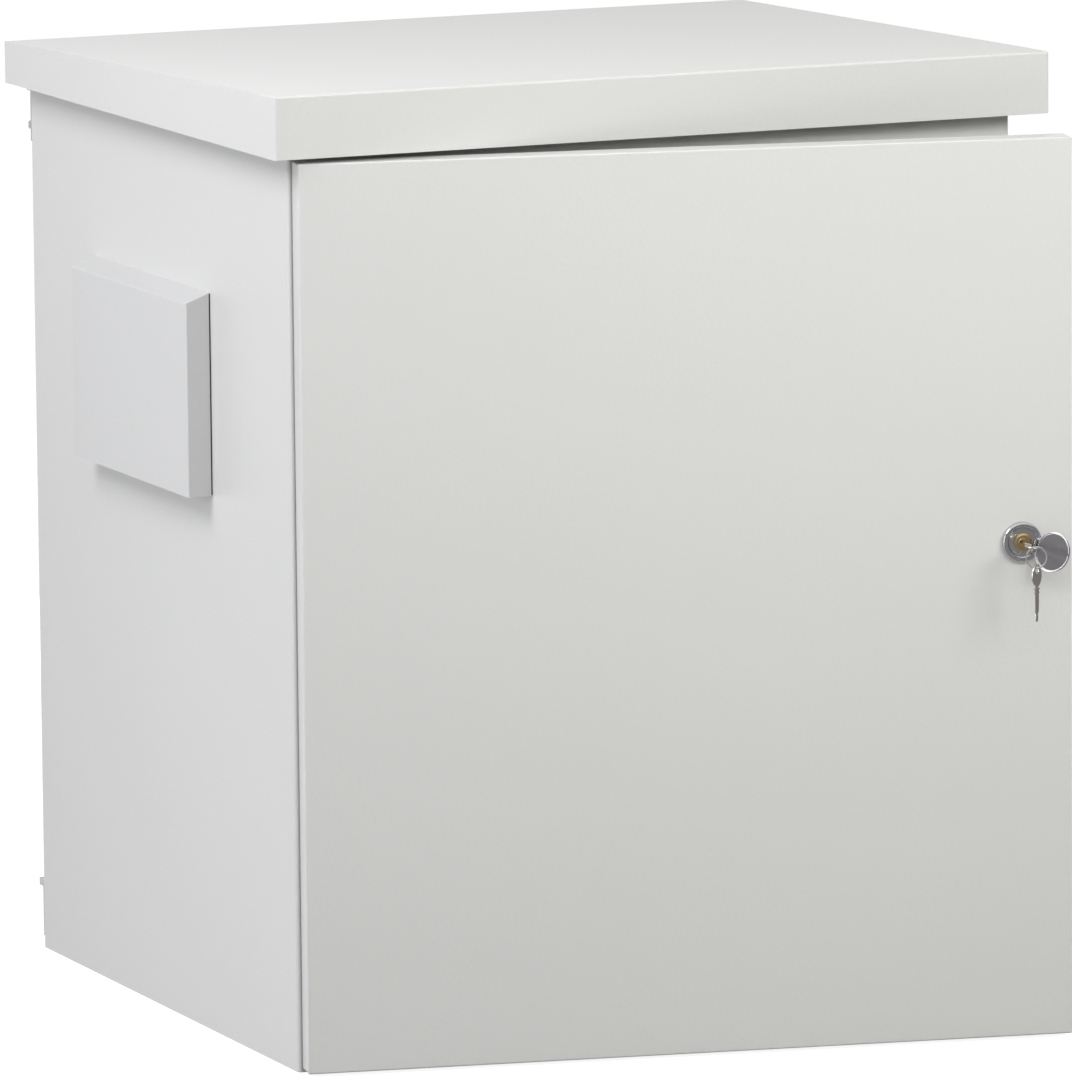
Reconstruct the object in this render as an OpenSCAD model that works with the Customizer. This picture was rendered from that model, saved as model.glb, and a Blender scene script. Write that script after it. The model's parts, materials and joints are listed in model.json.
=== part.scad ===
// Outdoor rack cabinet: a folded sheet-steel box with a sloping rain roof, side vent hoods,
// an overlay door on concealed hinges with a cam lock, and a rack frame inside.
// Millimetres. X runs across the front, the door faces -Y, Z is up, and the origin lies at
// the middle of the base. The door is drawn ajar.

/* [Cabinet] */
// Width of the body over its side walls
cab_w = 600; // [560:1:700]
// Depth of the body from its front frame to its back wall
cab_d = 540; // [500:1:700]
// Height of the box under the roof
body_h = 715; // [690:1:900]
// Thickness of the sheet steel
sheet = 1.5; // [1:0.1:2]
// Outer radius of the folded corners
fold_r = 3; // [2.5:0.1:5]

/* [Roof] */
// How far the roof skirt laps down over the box
roof_lap = 15; // [8:1:18]
// Height of the roof skirt at the front
roof_front_h = 48; // [44:1:70]
// Height of the roof skirt at the back
roof_back_h = 33; // [28:1:40]
// Overhang of the roof past each side wall
roof_side = 21; // [10:1:40]
// Overhang of the roof past the front frame
roof_front = 27; // [26:0.5:40]
// Radius along the roof's edges
roof_r = 2; // [1:0.1:3]
// Length of the roof supports across the cabinet
support_l = 480; // [300:1:520]
// Distance of each roof support from the middle of the depth
support_y = 150; // [80:1:190]
// Width of a roof support over its webs
support_w = 40; // [30:1:60]
// Width of a roof support's foot
support_foot = 18; // [16:1:24]
// Distance of the roof bolts from the ends of the supports
roof_bolt_end = 30; // [15:1:60]

/* [Door] */
// Gap between the front frame and the back of the closed door
door_gap = 3; // [3:0.1:4]
// How far the door's edges stay inside the side walls
door_inset = 1; // [0:0.1:3]
// Gap between the door's top edge and the roof skirt
door_top_gap = 4; // [2:0.1:8]
// Height of the door's bottom edge above the base
door_lift = 3; // [1:0.1:8]
// Depth of the door pan
door_t = 22; // [21:0.1:24]
// Width of the turned-in lip at the back of the door pan
door_lip = 10; // [6:0.1:11]
// Radius along the door's front edges
door_r = 1.6; // [0.8:0.1:2.5]
// Angle at which the door stands ajar
door_rest = 11; // [2:0.5:40]
// Distance from the door's edges to the rim of the opening
rim_inset = 24; // [23.5:0.1:30]
// How far the rim of the opening stands forward
rim_h = 13; // [12.5:0.1:13.5]
// Width of the foam gasket on the door
gasket_w = 8; // [6:0.1:8.4]
// Gap between the gasket and the rim when the door is closed
gasket_gap = 0.3; // [0.2:0.05:1]

/* [Door strips] */
// Distance of each perforated door strip from the middle of the door
strip_x = 190; // [100:1:220]
// Width of a door strip
strip_w = 30; // [20:1:40]
// Depth of a door strip
strip_d = 12; // [8:0.5:16]
// Distance from the door's ends to the ends of a strip
strip_end = 60; // [45:1:120]
// Radius of the holes in a door strip
strip_hole_r = 2.5; // [1.5:0.1:4]
// Pitch of the holes in a door strip
strip_pitch = 25; // [15:1:50]

/* [Hinges] */
// Distance of the hinge axis from the door's left edge
hinge_edge = 7; // [6.8:0.1:7.5]
// Distance of the hinge axis in front of the back of the door
hinge_set = 9; // [8.6:0.1:9.4]
// Distance from the door's ends to the hinges
hinge_end = 95; // [60:1:200]
// Outer radius of the hinge barrel
barrel_r = 4; // [3.4:0.1:4.4]
// Length of the hinge barrel
barrel_l = 24; // [16:1:34]
// Radius of the hinge pin
pin_r = 2; // [1.5:0.1:2.4]
// Running clearance around the hinge pin
pin_gap = 0.05; // [0.03:0.01:0.1]
// Fitting clearance of pressed pins, nuts and threads
press_gap = 0.02; // [0.01:0.01:0.05]
// Gap between the barrel's ends and the ears of the door leaf
ear_gap = 0.3; // [0.2:0.05:0.6]
// Thickness of the ears of the door leaf
ear_t = 4; // [3:0.1:6]
// Thickness of the frame leaf
frame_leaf_t = 3; // [2:0.1:3.2]
// Height of the frame leaf
frame_leaf_h = 56; // [50:1:80]
// Height of the door leaf
door_leaf_h = 62; // [58:1:90]
// Thickness of the door leaf
door_leaf_t = 2; // [1.5:0.1:2.5]

/* [Lock] */
// Distance of the lock from the door's right edge
lock_edge = 40; // [40:0.5:60]
// Height of the lock above the base
lock_z = 387; // [200:1:560]
// Radius of the lock base
lock_r = 15.5; // [14.5:0.1:17]
// Height of the lock base in front of the door
lock_h = 3.6; // [3.2:0.1:4.5]
// Radius of the lock's barrel
lock_barrel_r = 9.5; // [8.5:0.1:10]
// Radius of the plug
plug_r = 6; // [5:0.1:6.5]
// Radius of the plug's brass head
plug_head_r = 7; // [6.8:0.1:7.6]
// Running clearance of the plug
plug_gap = 0.08; // [0.05:0.01:0.1]
// Gap between the cam and the back of the front frame
cam_gap = 1; // [0.5:0.1:3]
// Thickness of the cam
cam_t = 3; // [2:0.1:4]
// Width of the cam
cam_w = 14; // [12:0.5:18]
// Reach of the cam from the lock's axis
cam_reach = 36; // [28:0.5:38]
// Angle of the keyway below the horizontal
key_tilt = 18; // [10:1:24]

/* [Lock cover] */
// Radius of the flip cover
cover_r = 15.5; // [14:0.1:17]
// Thickness of the flip cover
cover_t = 1.2; // [0.8:0.1:1.5]
// Angle at which the flip cover stands open
cover_rest = 130; // [110:1:140]
// Distance of the cover's hinge from the lock's axis
cover_hinge = 9.5; // [9.2:0.1:11]
// Radius of the cover's hinge pin
cover_pin_r = 0.8; // [0.6:0.05:0.9]

/* [Keys] */
// Thickness of the key's plate
key_t = 1.6; // [1.2:0.1:1.8]
// Length of the key's leaf-shaped bow
bow_l = 19; // [17:0.5:22]
// Width of the bow
bow_w = 12; // [11:0.5:14]
// Radius of the hole in the bow
bow_hole_r = 2.75; // [2.6:0.05:3]
// Distance of the hole from the bow's tip
bow_hole_end = 5; // [4.6:0.1:5.6]
// Length of the key's collar
collar_l = 4; // [3:0.1:6]
// Length of the shank
shank_l = 15; // [12:0.5:17]
// Width of the shank
shank_w = 4.8; // [4:0.1:5.4]
// Length of the tip
tip_l = 7; // [5:0.1:8]
// Length by which the inserted key is drawn out of the lock
key_out = 11; // [0:0.5:12]
// Radius of the key ring at the middle of its wire
ring_r = 8; // [7.8:0.05:8.4]
// Radius of the ring's wire
ring_wire_r = 0.65; // [0.5:0.05:0.7]

/* [Vent hoods] */
// Distance of the hood from the front frame
hood_front = 160; // [120:1:200]
// Length of the hood along the side wall
hood_l = 242; // [180:1:260]
// Distance of the hood's lower edge below the top of the box
hood_z = 295; // [290:1:400]
// Height of the hood
hood_h = 157; // [140:1:160]
// How far the hood stands out
hood_out = 20; // [14:0.5:40]
// Drop of the hood's sloping top
hood_drop = 7.5; // [2:0.5:20]
// Width of the hood's flanges on the wall
hood_flange = 16; // [14:0.5:20]
// Gap between the hood's lower edge and its flanges
hood_flange_low = 10; // [4:0.5:16]
// Gap between the hood's top and its flanges
hood_flange_high = 15; // [8:0.5:20]
// Height of the lower hood bolts above the hood's lower edge
hood_bolt_low = 30; // [22:1:60]
// Distance of the upper hood bolts below the hood's top
hood_bolt_high = 40; // [27:1:60]
// Number of air slots behind each hood
slots = 7; // [3:1:9]
// Height of an air slot
slot_h = 5; // [3:0.5:8]
// Pitch of the air slots
slot_pitch = 14; // [10:0.5:15]
// Thickness of the filter mat
mat_t = 10; // [6:0.5:16]
// Radius of the hood's bolts
hood_bolt_r = 2.5; // [2:0.1:3]

/* [Cable entry] */
// Width of the cable opening in the floor
entry_w = 220; // [180:1:300]
// Depth of the cable opening
entry_d = 80; // [60:1:120]
// Distance of the cable opening from the back wall
entry_back = 40; // [30:1:60]
// Margin of the gland plate around the opening
gland_margin = 14; // [10:0.5:20]
// Thickness of the gland plate
gland_t = 2; // [1.5:0.1:3]
// Pitch of the cable grommets
grommet_pitch = 70; // [50:1:76]
// Radius of the hole in a grommet
grommet_bore_r = 10; // [6:0.5:13]
// Radius of the grommet's seat in the gland plate
grommet_seat_r = 16; // [14.5:0.5:18]

/* [Rack frame] */
// Height of a rack unit
unit_h = 44.45; // [40:0.05:45]
// Spacing of the rack holes across the cabinet
rack_holes = 465.1; // [440:0.1:480]
// Clear width between the rack rails
rack_clear = 450.8; // [430:0.1:452]
// Side of a square rack hole
rack_hole = 9.5; // [8:0.1:10]
// Width of a rail's front flange
rail_w = 36; // [30:0.5:40]
// Depth of a rail's side flange
rail_d = 40; // [30:0.5:60]
// Thickness of the rails
rail_t = 2; // [1.5:0.1:3]
// Distance of the front rails behind the front frame
rail_front = 70; // [50:1:150]
// Distance of the rear rails in front of the back wall
rail_back = 70; // [60:1:150]
// Length of the rails past the rack units
rail_extra = 36; // [20:1:44]
// Distance of the rails' upper ends below the top of the box
rail_top = 75; // [60:1:90]
// Height of the lower depth rails above the base
depth_rail_z = 60; // [40:1:70]
// Height of a depth rail
depth_rail_h = 40; // [30:1:44]
// Width of a depth rail's lips on the wall
depth_rail_lip = 12; // [6:0.5:14]
// How far the depth rails reach above and below the rails' ends
depth_rail_over = 10; // [4:0.5:16]
// How far the depth rails run past the rack rails
depth_rail_past = 15; // [5:1:30]
// Radius of the rail bolts
rail_bolt_r = 3; // [2.5:0.1:4]

/* [Wall brackets] */
// Width of a wall bracket
bracket_w = 40; // [34:0.5:60]
// Height of a wall bracket
bracket_h = 46; // [42:0.5:60]
// Thickness of a wall bracket
bracket_t = 3; // [2:0.1:5]
// Height of the bracket's foot
foot_h = 6; // [4:0.1:8]
// Width of the bracket's foot
foot_w = 15; // [8:0.5:24]
// How far the bracket's foot stands behind the back wall
foot_out = 11; // [8:0.5:20]
// Distance of the brackets from the cabinet's side
bracket_side = 1.2; // [0.5:0.1:3]
// Gap between the upper brackets and the roof skirt
bracket_top_gap = 2; // [1:0.1:10]
// Height of the lower brackets above the base
bracket_low = 9; // [4:0.5:20]
// Distance of the bracket's bolt from the corner fold
bracket_bolt_side = 3.6; // [3.6:0.1:6]
// Radius of the wall anchor holes
anchor_r = 4.5; // [3:0.1:6]
// Distance of the wall anchor holes from the cabinet's side
anchor_side = 28; // [22:0.5:32]

/* [Hidden] */
$fn = 48;

// Colours
paint = [0.87, 0.87, 0.85];
zinc = [0.74, 0.75, 0.76];
chrome = [0.66, 0.66, 0.67];
brass = [0.79, 0.63, 0.33];
rubber = [0.13, 0.13, 0.13];
foam = [0.22, 0.22, 0.22];
fleece = [0.92, 0.92, 0.9];

// Small shared sizes
over = 1;
arc_steps = 6;
clear = 0.1;
soft_gap = 0.3;
stud_past = 0.7;
bolt_past = 2;

// Body planes
half_w = cab_w / 2;
front_y = -cab_d / 2;
back_y = cab_d / 2;
in_x = half_w - sheet;
in_front = front_y + sheet;
in_back = back_y - sheet;

// Roof
roof_z = body_h - roof_lap;
roof_x = half_w + roof_side;
roof_y0 = front_y - roof_front;
roof_y1 = back_y + sheet;
roof_slope = (roof_front_h - roof_back_h) / (roof_y1 - roof_y0);
roof_bolt_r = 3;
roof_bolt_x = support_l / 2 - roof_bolt_end;
roof_thread_h = 6;
roof_head_t = 4;
roof_boss = 2;

// Closed door, its frame and its hinge axis
door_x = half_w - door_inset;
door_rear = front_y - door_gap;
door_front = door_rear - door_t;
door_skin = door_front + sheet;
door_z0 = door_lift;
door_z1 = roof_z - door_top_gap;
rim_x = door_x - rim_inset;
rim_z0 = door_z0 + rim_inset;
rim_z1 = door_z1 - rim_inset;
rim_tip = front_y - rim_h;
gasket_x = rim_x - sheet / 2;
gasket_rear = rim_tip - gasket_gap;
hinge_x = -door_x + hinge_edge;
hinge_y = door_rear - hinge_set;
hinge_zs = [door_z0 + hinge_end, door_z1 - hinge_end];
leaf_room = 3;
web_front = 1;
web_back = 2;
leaf_screw_r = 2;
leaf_screw_out = 7;
leaf_screw_z = barrel_l / 2 + leaf_screw_out;
leaf_screw_y = front_y - rim_h / 2;
door_leaf_x0 = -door_x + sheet + soft_gap;
door_leaf_x1 = -gasket_x - gasket_w / 2 - soft_gap;
door_stud_r = 2;
door_stud_z = (barrel_l / 2 + ear_gap + ear_t + door_leaf_h / 2) / 2;
door_nut_t = 3;
ground_r = 3;
ground_nut_t = 5;
ground_nut_af = 10;
ground_lift = 30;
ground_x = strip_x + strip_w;
ground_z = rim_z0 + ground_lift;

// Lock, along its axis with zero at the door's front face
lock_x = door_x - lock_edge;
lock_bore_r = plug_r + plug_gap;
lock_rim = 0.6;
lock_bevel = 1.2;
lock_rim_w = 1.6;
lock_rim_edge = 0.4;
lock_side = 1;
lock_notch_r = 1.6;
lock_nut_t = 4;
lock_nut_wall = 1.5;
lock_nut_af = 2 * (lock_barrel_r + lock_nut_wall);
cam_front = door_front - in_front - cam_gap;
cam_room = 1.3;
lock_rear = cam_front + cam_room;
plug_head_z = lock_h + soft_gap;
plug_head_t = 1.3;
plug_face = plug_head_z + plug_head_t;
plug_step = 0.5;
plug_groove_t = 0.4;
plug_groove = [3.4, 3.8, 4.4, 4.8];
plug_crown_r = 5.6;
stud_r = 4;
cam_nut_t = 5;
cam_nut_af = 13;
cam_hub = 1.5;
cam_stud_past = 1;
cover_lift = 0.8;
cover_pivot_z = lock_h + cover_lift;
cover_edge = 1;
cover_near = 1.9;
cover_reach = cover_r + cover_edge;
cover_knuckle_r = 1.5;
cover_knuckle_l = 4.4;
cover_ear_l = 2.2;
cover_slot = cover_knuckle_l + 2 * soft_gap;
cover_step = 0.6;
cover_low = cover_knuckle_r - cover_step;
cover_slot_z = 1.4;
cover_rim_w = 1;
cover_lip = 0.8;

// Keys, drawn flat with the bow's root at zero and the tip downwards
collar_out = 0.7;
collar_thick = 0.5;
collar_w = shank_w + 2 * collar_out;
collar_t = key_t + 2 * collar_thick;
tip_w = shank_w / 2;
bow_hole = bow_l - bow_hole_end;
keyway_gap = 0.2;
key_seat = plug_face + keyway_gap + collar_l + key_out;
spare_turn = 41;
ring_in = 4.55;
ring_drop = 5.98;
ring_at = [ring_in * cos(key_tilt) - ring_drop * sin(key_tilt),
    -ring_in * sin(key_tilt) - ring_drop * cos(key_tilt), key_seat + bow_hole];
spare_hang = 1.35;

// Vent hoods, drawn for the right side
hood_y0 = front_y + hood_front;
hood_y1 = hood_y0 + hood_l;
hood_z0 = body_h - hood_z;
hood_z1 = hood_z0 + hood_h;
hood_bolt_y = hood_flange / 2 + sheet;
hood_bolt_zs = [hood_z0 + hood_bolt_low, hood_z1 - hood_bolt_high];
hood_edge_r = 1.2;
hood_fold_r = 0.9 * sheet;
frame_edge = 3;
filter_room = 2;
filter_in = hood_flange + 2 * sheet + filter_room;
filter_lip = 6;
slot_l = hood_l - 2 * filter_in - 2 * filter_room;
slot_z0 = hood_z0 + (hood_h - (slots - 1) * slot_pitch - slot_h) / 2;

// Cable entry
entry_y1 = in_back - entry_back;
entry_y0 = entry_y1 - entry_d;
gland_z = sheet + gland_t;
gland_screw_r = 2;
grommet_lip = 3;
grommet_low = 0.3;
grommet_rise = 4.5;
grommet_top = gland_z + grommet_rise;
grommet_edge = 1;
grommet_crown = 1.5;
grommet_wall = 3;
grommet_y = (entry_y0 + entry_y1) / 2;

// Rack frame
rail_in = rack_clear / 2;
rail_out = rail_in + rail_w;
rail_y0 = front_y + rail_front;
rail_y1 = back_y - rail_back;
rail_z0 = depth_rail_z + depth_rail_over;
rail_z1 = body_h - rail_top;
units = floor((rail_z1 - rail_z0 - rail_extra) / unit_h);
unit_z0 = (rail_z0 + rail_z1 - units * unit_h) / 2;
upper_depth_z = rail_z1 + depth_rail_over - depth_rail_h;
depth_rail_zs = [depth_rail_z, upper_depth_z];
rail_bolt_zs = [depth_rail_z + depth_rail_h / 2, upper_depth_z + depth_rail_h / 2];
rail_bolt_in = rail_d / 2;
rail_nut_t = 5;
rail_nut_af = 10;

// Wall brackets
bracket_x0 = half_w - bracket_side - bracket_w;
bracket_z1 = roof_z - bracket_top_gap;
bracket_bolt_x = half_w - fold_r - bracket_bolt_side;
bracket_bolt_r = 2;
bracket_bolt_end = 12;
bracket_nut_af = 7;
bracket_nut_t = 4;
bracket_head_af = 9;
bracket_head_t = 6;
washer_r = 4.4;
washer_t = 1.5;
anchor_end = 22;
bracket_bolt_zs = [bracket_low + bracket_bolt_end, bracket_z1 - bracket_h + bracket_bolt_end];
anchor_zs = [bracket_low + anchor_end, bracket_z1 - bracket_h + anchor_end];

// Height of the roof's upper face at a depth
function roof_top(y) = roof_z + roof_front_h - roof_slope * (y - roof_y0);

function unit(v) = v / norm(v);
function turn(a) = a > 180 ? a - 360 : a < -180 ? a + 360 : a;

// Points of an arc that rounds the corner p between its neighbours a and b
function corner(p, a, b, r) =
    r == 0 ? [p] :
    let (u = unit(a - p), v = unit(b - p), h = acos(u * v) / 2)
    let (c = p + unit(u + v) * r / sin(h), p0 = p + u * r / tan(h), p1 = p + v * r / tan(h))
    let (a0 = atan2(p0.y - c.y, p0.x - c.x), a1 = atan2(p1.y - c.y, p1.x - c.x))
    [for (i = [0:arc_steps]) let (t = a0 + turn(a1 - a0) * i / arc_steps) c + r * [cos(t), sin(t)]];

// An outline with its corners rounded by the given radii
function rounded(pts, radii) =
    let (n = len(pts))
    [for (i = [0:n - 1]) each corner(pts[i], pts[(i + n - 1) % n], pts[(i + 1) % n], radii[i])];

function rect(x0, y0, x1, y1) = [[x0, y0], [x1, y0], [x1, y1], [x0, y1]];

// A box between two opposite corners
module box(lo, hi) {
    translate(lo) cube(hi - lo);
}

// Extrudes an outline of Y and Z along X, or of X and Z along Y
module along_x(x0, x1) {
    translate([x0, 0, 0]) rotate([90, 0, 90]) linear_extrude(x1 - x0) children();
}
module along_y(y0, y1) {
    translate([0, y1, 0]) rotate([90, 0, 0]) linear_extrude(y1 - y0) children();
}

// Rods along X and Y, from a point, with a length towards plus
module rod_x(p, r, l) {
    translate(p) rotate([0, 90, 0]) cylinder(r = r, h = l);
}
module rod_y(p, r, l) {
    translate(p) rotate([-90, 0, 0]) cylinder(r = r, h = l);
}

// A hexagon prism with flats across X
module hex(af, h) {
    rotate([0, 0, 30]) cylinder(r = af / 2 / cos(30), h = h, $fn = 6);
}

module both_sides() {
    children();
    mirror([1, 0, 0]) children();
}

module on_left() {
    mirror([1, 0, 0]) children();
}

// Turns the closed door's pieces to where the door stands ajar
module ajar() {
    translate([hinge_x, hinge_y, 0]) rotate([0, 0, -door_rest]) translate([-hinge_x, -hinge_y, 0])
        children();
}

// Body: both side walls and the back in one wrap, with front flanges and rims
module body_shell() {
    color(paint) difference() {
        union() {
            linear_extrude(body_h) difference() {
                polygon(rounded(rect(-half_w, front_y, half_w, back_y), [for (i = [1:4]) fold_r]));
                polygon(rounded(rect(-in_x, in_front, in_x, in_back),
                    [for (i = [1:4]) fold_r - sheet]));
                translate([-rim_x + sheet, front_y - over])
                    square([2 * (rim_x - sheet), sheet + 2 * over]);
            }
            both_sides() box([rim_x - sheet, rim_tip, rim_z0 + sheet],
                [rim_x, in_front, rim_z1 - sheet]);
        }
        both_sides() {
            for (i = [0:slots - 1]) translate([0, 0, slot_z0 + i * slot_pitch])
                box([in_x - over, hood_y0 + (hood_l - slot_l) / 2, 0],
                    [half_w + over, hood_y1 - (hood_l - slot_l) / 2, slot_h]);
            at_hood_bolts() rod_x([in_x - over, 0, 0], hood_bolt_r + clear, sheet + 2 * over);
            for (z = bracket_bolt_zs) rod_y([bracket_bolt_x, in_back - over, z],
                bracket_bolt_r + clear, sheet + 2 * over);
            for (z = anchor_zs) rod_y([half_w - anchor_side, in_back - over, z], anchor_r,
                sheet + 2 * over);
        }
        at_leaf_screws() rod_x([-rim_x - over, leaf_screw_y, 0], leaf_screw_r + clear,
            sheet + 2 * over);
    }
}

module floor_pan() {
    color(paint) difference() {
        union() {
            box([-in_x, in_front, 0], [in_x, in_back, sheet]);
            box([-rim_x + sheet, front_y, 0], [rim_x - sheet, in_front, rim_z0 + sheet]);
            box([-rim_x, rim_tip, rim_z0], [rim_x, front_y, rim_z0 + sheet]);
            translate([ground_x, in_front + ground_z, 0])
                cylinder(r = ground_r, h = sheet + 2 * ground_nut_t);
        }
        box([-entry_w / 2, entry_y0, -over], [entry_w / 2, entry_y1, sheet + over]);
        at_gland_screws() translate([0, 0, -over])
            cylinder(r = gland_screw_r + press_gap, h = sheet + 2 * over);
    }
}

module ceiling_panel() {
    color(paint) difference() {
        union() {
            box([-in_x, in_front, body_h - sheet], [in_x, in_back, body_h]);
            box([-rim_x + sheet, front_y, rim_z1 - sheet], [rim_x - sheet, in_front, body_h]);
            box([-rim_x, rim_tip, rim_z1 - sheet], [rim_x, front_y, rim_z1]);
        }
        at_roof_bolts() translate([0, 0, body_h - sheet - over])
            cylinder(r = roof_bolt_r + clear, h = sheet + 2 * over);
    }
}

// Roof: a folded cap that slopes down to the back
module roof_cap() {
    color(paint) difference() {
        intersection() {
            along_x(-roof_x, roof_x) polygon(rounded(
                [[roof_y0, roof_z], [roof_y1, roof_z], [roof_y1, roof_top(roof_y1)],
                    [roof_y0, roof_top(roof_y0)]], [0, 0, roof_r, roof_r]));
            along_y(roof_y0, roof_y1) polygon(rounded(
                rect(-roof_x, roof_z, roof_x, roof_top(roof_y0)), [0, 0, roof_r, roof_r]));
            translate([0, 0, roof_z]) linear_extrude(roof_front_h) polygon(rounded(
                rect(-roof_x, roof_y0, roof_x, roof_y1), [for (i = [1:4]) roof_r]));
        }
        along_x(-roof_x + sheet, roof_x - sheet) polygon(
            [[roof_y0 + sheet, roof_z - over], [roof_y1 - sheet, roof_z - over],
                [roof_y1 - sheet, roof_top(roof_y1 - sheet) - sheet],
                [roof_y0 + sheet, roof_top(roof_y0 + sheet) - sheet]]);
    }
}

// Places the roof bolts: in the feet of both supports
module at_roof_bolts() {
    for (y = [-support_y, support_y], x = [-roof_bolt_x, roof_bolt_x])
        translate([x, y - support_w / 2 - support_foot / 2, 0]) children();
}

// A hat section between the box and the roof, its top following the slope
module roof_support(y) {
    y0 = y - support_w / 2;
    y1 = y + support_w / 2;
    color(zinc) difference() {
        union() {
            along_x(-support_l / 2, support_l / 2) difference() {
                polygon([[y0 - support_foot, body_h], [y1 + support_foot, body_h],
                    [y1 + support_foot, body_h + sheet], [y1, body_h + sheet],
                    [y1, roof_top(y1) - sheet], [y0, roof_top(y0) - sheet],
                    [y0, body_h + sheet], [y0 - support_foot, body_h + sheet]]);
                polygon([[y0 + sheet, body_h - over], [y1 - sheet, body_h - over],
                    [y1 - sheet, roof_top(y1 - sheet) - 2 * sheet],
                    [y0 + sheet, roof_top(y0 + sheet) - 2 * sheet]]);
            }
            for (x = [-roof_bolt_x, roof_bolt_x]) translate([x, y0 - support_foot / 2, body_h])
                cylinder(r = roof_bolt_r + roof_boss, h = roof_thread_h);
        }
        for (x = [-roof_bolt_x, roof_bolt_x]) translate([x, y0 - support_foot / 2, body_h - over])
            cylinder(r = roof_bolt_r + press_gap, h = roof_thread_h + 2 * over);
    }
}
module front_roof_support() {
    roof_support(-support_y);
}
module rear_roof_support() {
    roof_support(support_y);
}

module roof_bolts() {
    color(zinc) at_roof_bolts() {
        translate([0, 0, body_h - sheet - roof_head_t])
            cylinder(r = roof_bolt_r, h = roof_head_t + sheet + roof_thread_h);
        translate([0, 0, body_h - sheet - roof_head_t]) hex(3.3 * roof_bolt_r, roof_head_t);
    }
}

// Places the bolts of the right hood, on the wall's inner side
module at_hood_bolts() {
    for (y = [hood_y0 + hood_bolt_y, hood_y1 - hood_bolt_y], z = hood_bolt_zs)
        translate([0, y, z]) children();
}

// Hood: closed at the top and sides, open below, with inward flanges on the wall
module vent_hood() {
    x1 = half_w + hood_out;
    color(paint) difference() {
        union() {
            difference() {
                intersection() {
                    along_y(hood_y0, hood_y1) polygon(rounded(
                        [[half_w, hood_z0], [x1, hood_z0], [x1, hood_z1 - hood_drop],
                            [half_w, hood_z1]], [0, 0, hood_edge_r, 0]));
                    translate([0, 0, hood_z0]) linear_extrude(hood_h) polygon(rounded(
                        rect(half_w, hood_y0, x1, hood_y1),
                        [hood_fold_r, hood_edge_r, hood_edge_r, hood_fold_r]));
                }
                along_y(hood_y0 + sheet, hood_y1 - sheet) polygon(
                    [[half_w - over, hood_z0 - over], [x1 - sheet, hood_z0 - over],
                        [x1 - sheet, hood_z1 - hood_drop - sheet],
                        [half_w, hood_z1 - sheet], [half_w - over, hood_z1 - sheet]]);
            }
            for (y = [hood_y0 + sheet / 2, hood_y1 - sheet / 2 - hood_flange])
                box([half_w, y, hood_z0 + hood_flange_low],
                    [half_w + sheet, y + hood_flange, hood_z1 - hood_flange_high]);
        }
        at_hood_bolts() rod_x([half_w - over, 0, 0], hood_bolt_r + press_gap, sheet + 2 * over);
    }
}
module right_vent_hood() {
    vent_hood();
}
module left_vent_hood() {
    on_left() vent_hood();
}

// A ring-shaped block between an outer and an inner rectangle of Y and Z
module wall_ring(x0, x1, edge, inner) {
    difference() {
        box([x0, hood_y0 + edge, hood_z0 + edge], [x1, hood_y1 - edge, hood_z1 - edge]);
        box([x0 - over, hood_y0 + inner, hood_z0 + inner],
            [x1 + over, hood_y1 - inner, hood_z1 - inner]);
    }
}

// Filter frame: a flange on the wall, a box around the mat and a lip that holds it
module filter_frame() {
    x0 = in_x - mat_t - sheet;
    color(paint) difference() {
        union() {
            wall_ring(in_x - sheet, in_x, frame_edge, filter_in);
            wall_ring(x0, in_x - sheet, filter_in - sheet, filter_in);
            wall_ring(x0, x0 + sheet, filter_in - sheet, filter_in + filter_lip);
        }
        at_hood_bolts() rod_x([in_x - sheet - over, 0, 0], hood_bolt_r + clear, sheet + 2 * over);
    }
}
module right_filter_frame() {
    filter_frame();
}
module left_filter_frame() {
    on_left() filter_frame();
}

module filter_mat() {
    color(fleece) box([in_x - mat_t + clear, hood_y0 + filter_in + clear, hood_z0 + filter_in + clear],
        [in_x - clear, hood_y1 - filter_in - clear, hood_z1 - filter_in - clear]);
}
module right_filter_mat() {
    filter_mat();
}
module left_filter_mat() {
    on_left() filter_mat();
}

module hood_bolts() {
    head_t = 3;
    color(zinc) at_hood_bolts() {
        rod_x([in_x - sheet, 0, 0], hood_bolt_r, 3 * sheet + bolt_past);
        rod_x([in_x - sheet - head_t, 0, 0], 1.8 * hood_bolt_r, head_t);
    }
}
module right_hood_bolts() {
    hood_bolts();
}
module left_hood_bolts() {
    on_left() hood_bolts();
}

// Places the screws at the gland plate's corners
module at_gland_screws() {
    for (x = [-1, 1] * (entry_w + gland_margin) / 2,
            y = [entry_y0 - gland_margin / 2, entry_y1 + gland_margin / 2])
        translate([x, y, 0]) children();
}
module at_grommets() {
    for (i = [-1:1]) translate([i * grommet_pitch, grommet_y, 0]) children();
}

module gland_plate() {
    color(zinc) difference() {
        box([-entry_w / 2 - gland_margin, entry_y0 - gland_margin, sheet],
            [entry_w / 2 + gland_margin, entry_y1 + gland_margin, gland_z]);
        at_gland_screws() translate([0, 0, sheet - over])
            cylinder(r = gland_screw_r + clear, h = gland_t + 2 * over);
        at_grommets() translate([0, 0, sheet - over])
            cylinder(r = grommet_seat_r, h = gland_t + 2 * over);
    }
}

module gland_screws() {
    head_t = 2;
    color(zinc) at_gland_screws() {
        translate([0, 0, grommet_low]) cylinder(r = gland_screw_r, h = gland_z - grommet_low);
        translate([0, 0, gland_z]) cylinder(r = 1.9 * gland_screw_r, h = head_t);
    }
}

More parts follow.
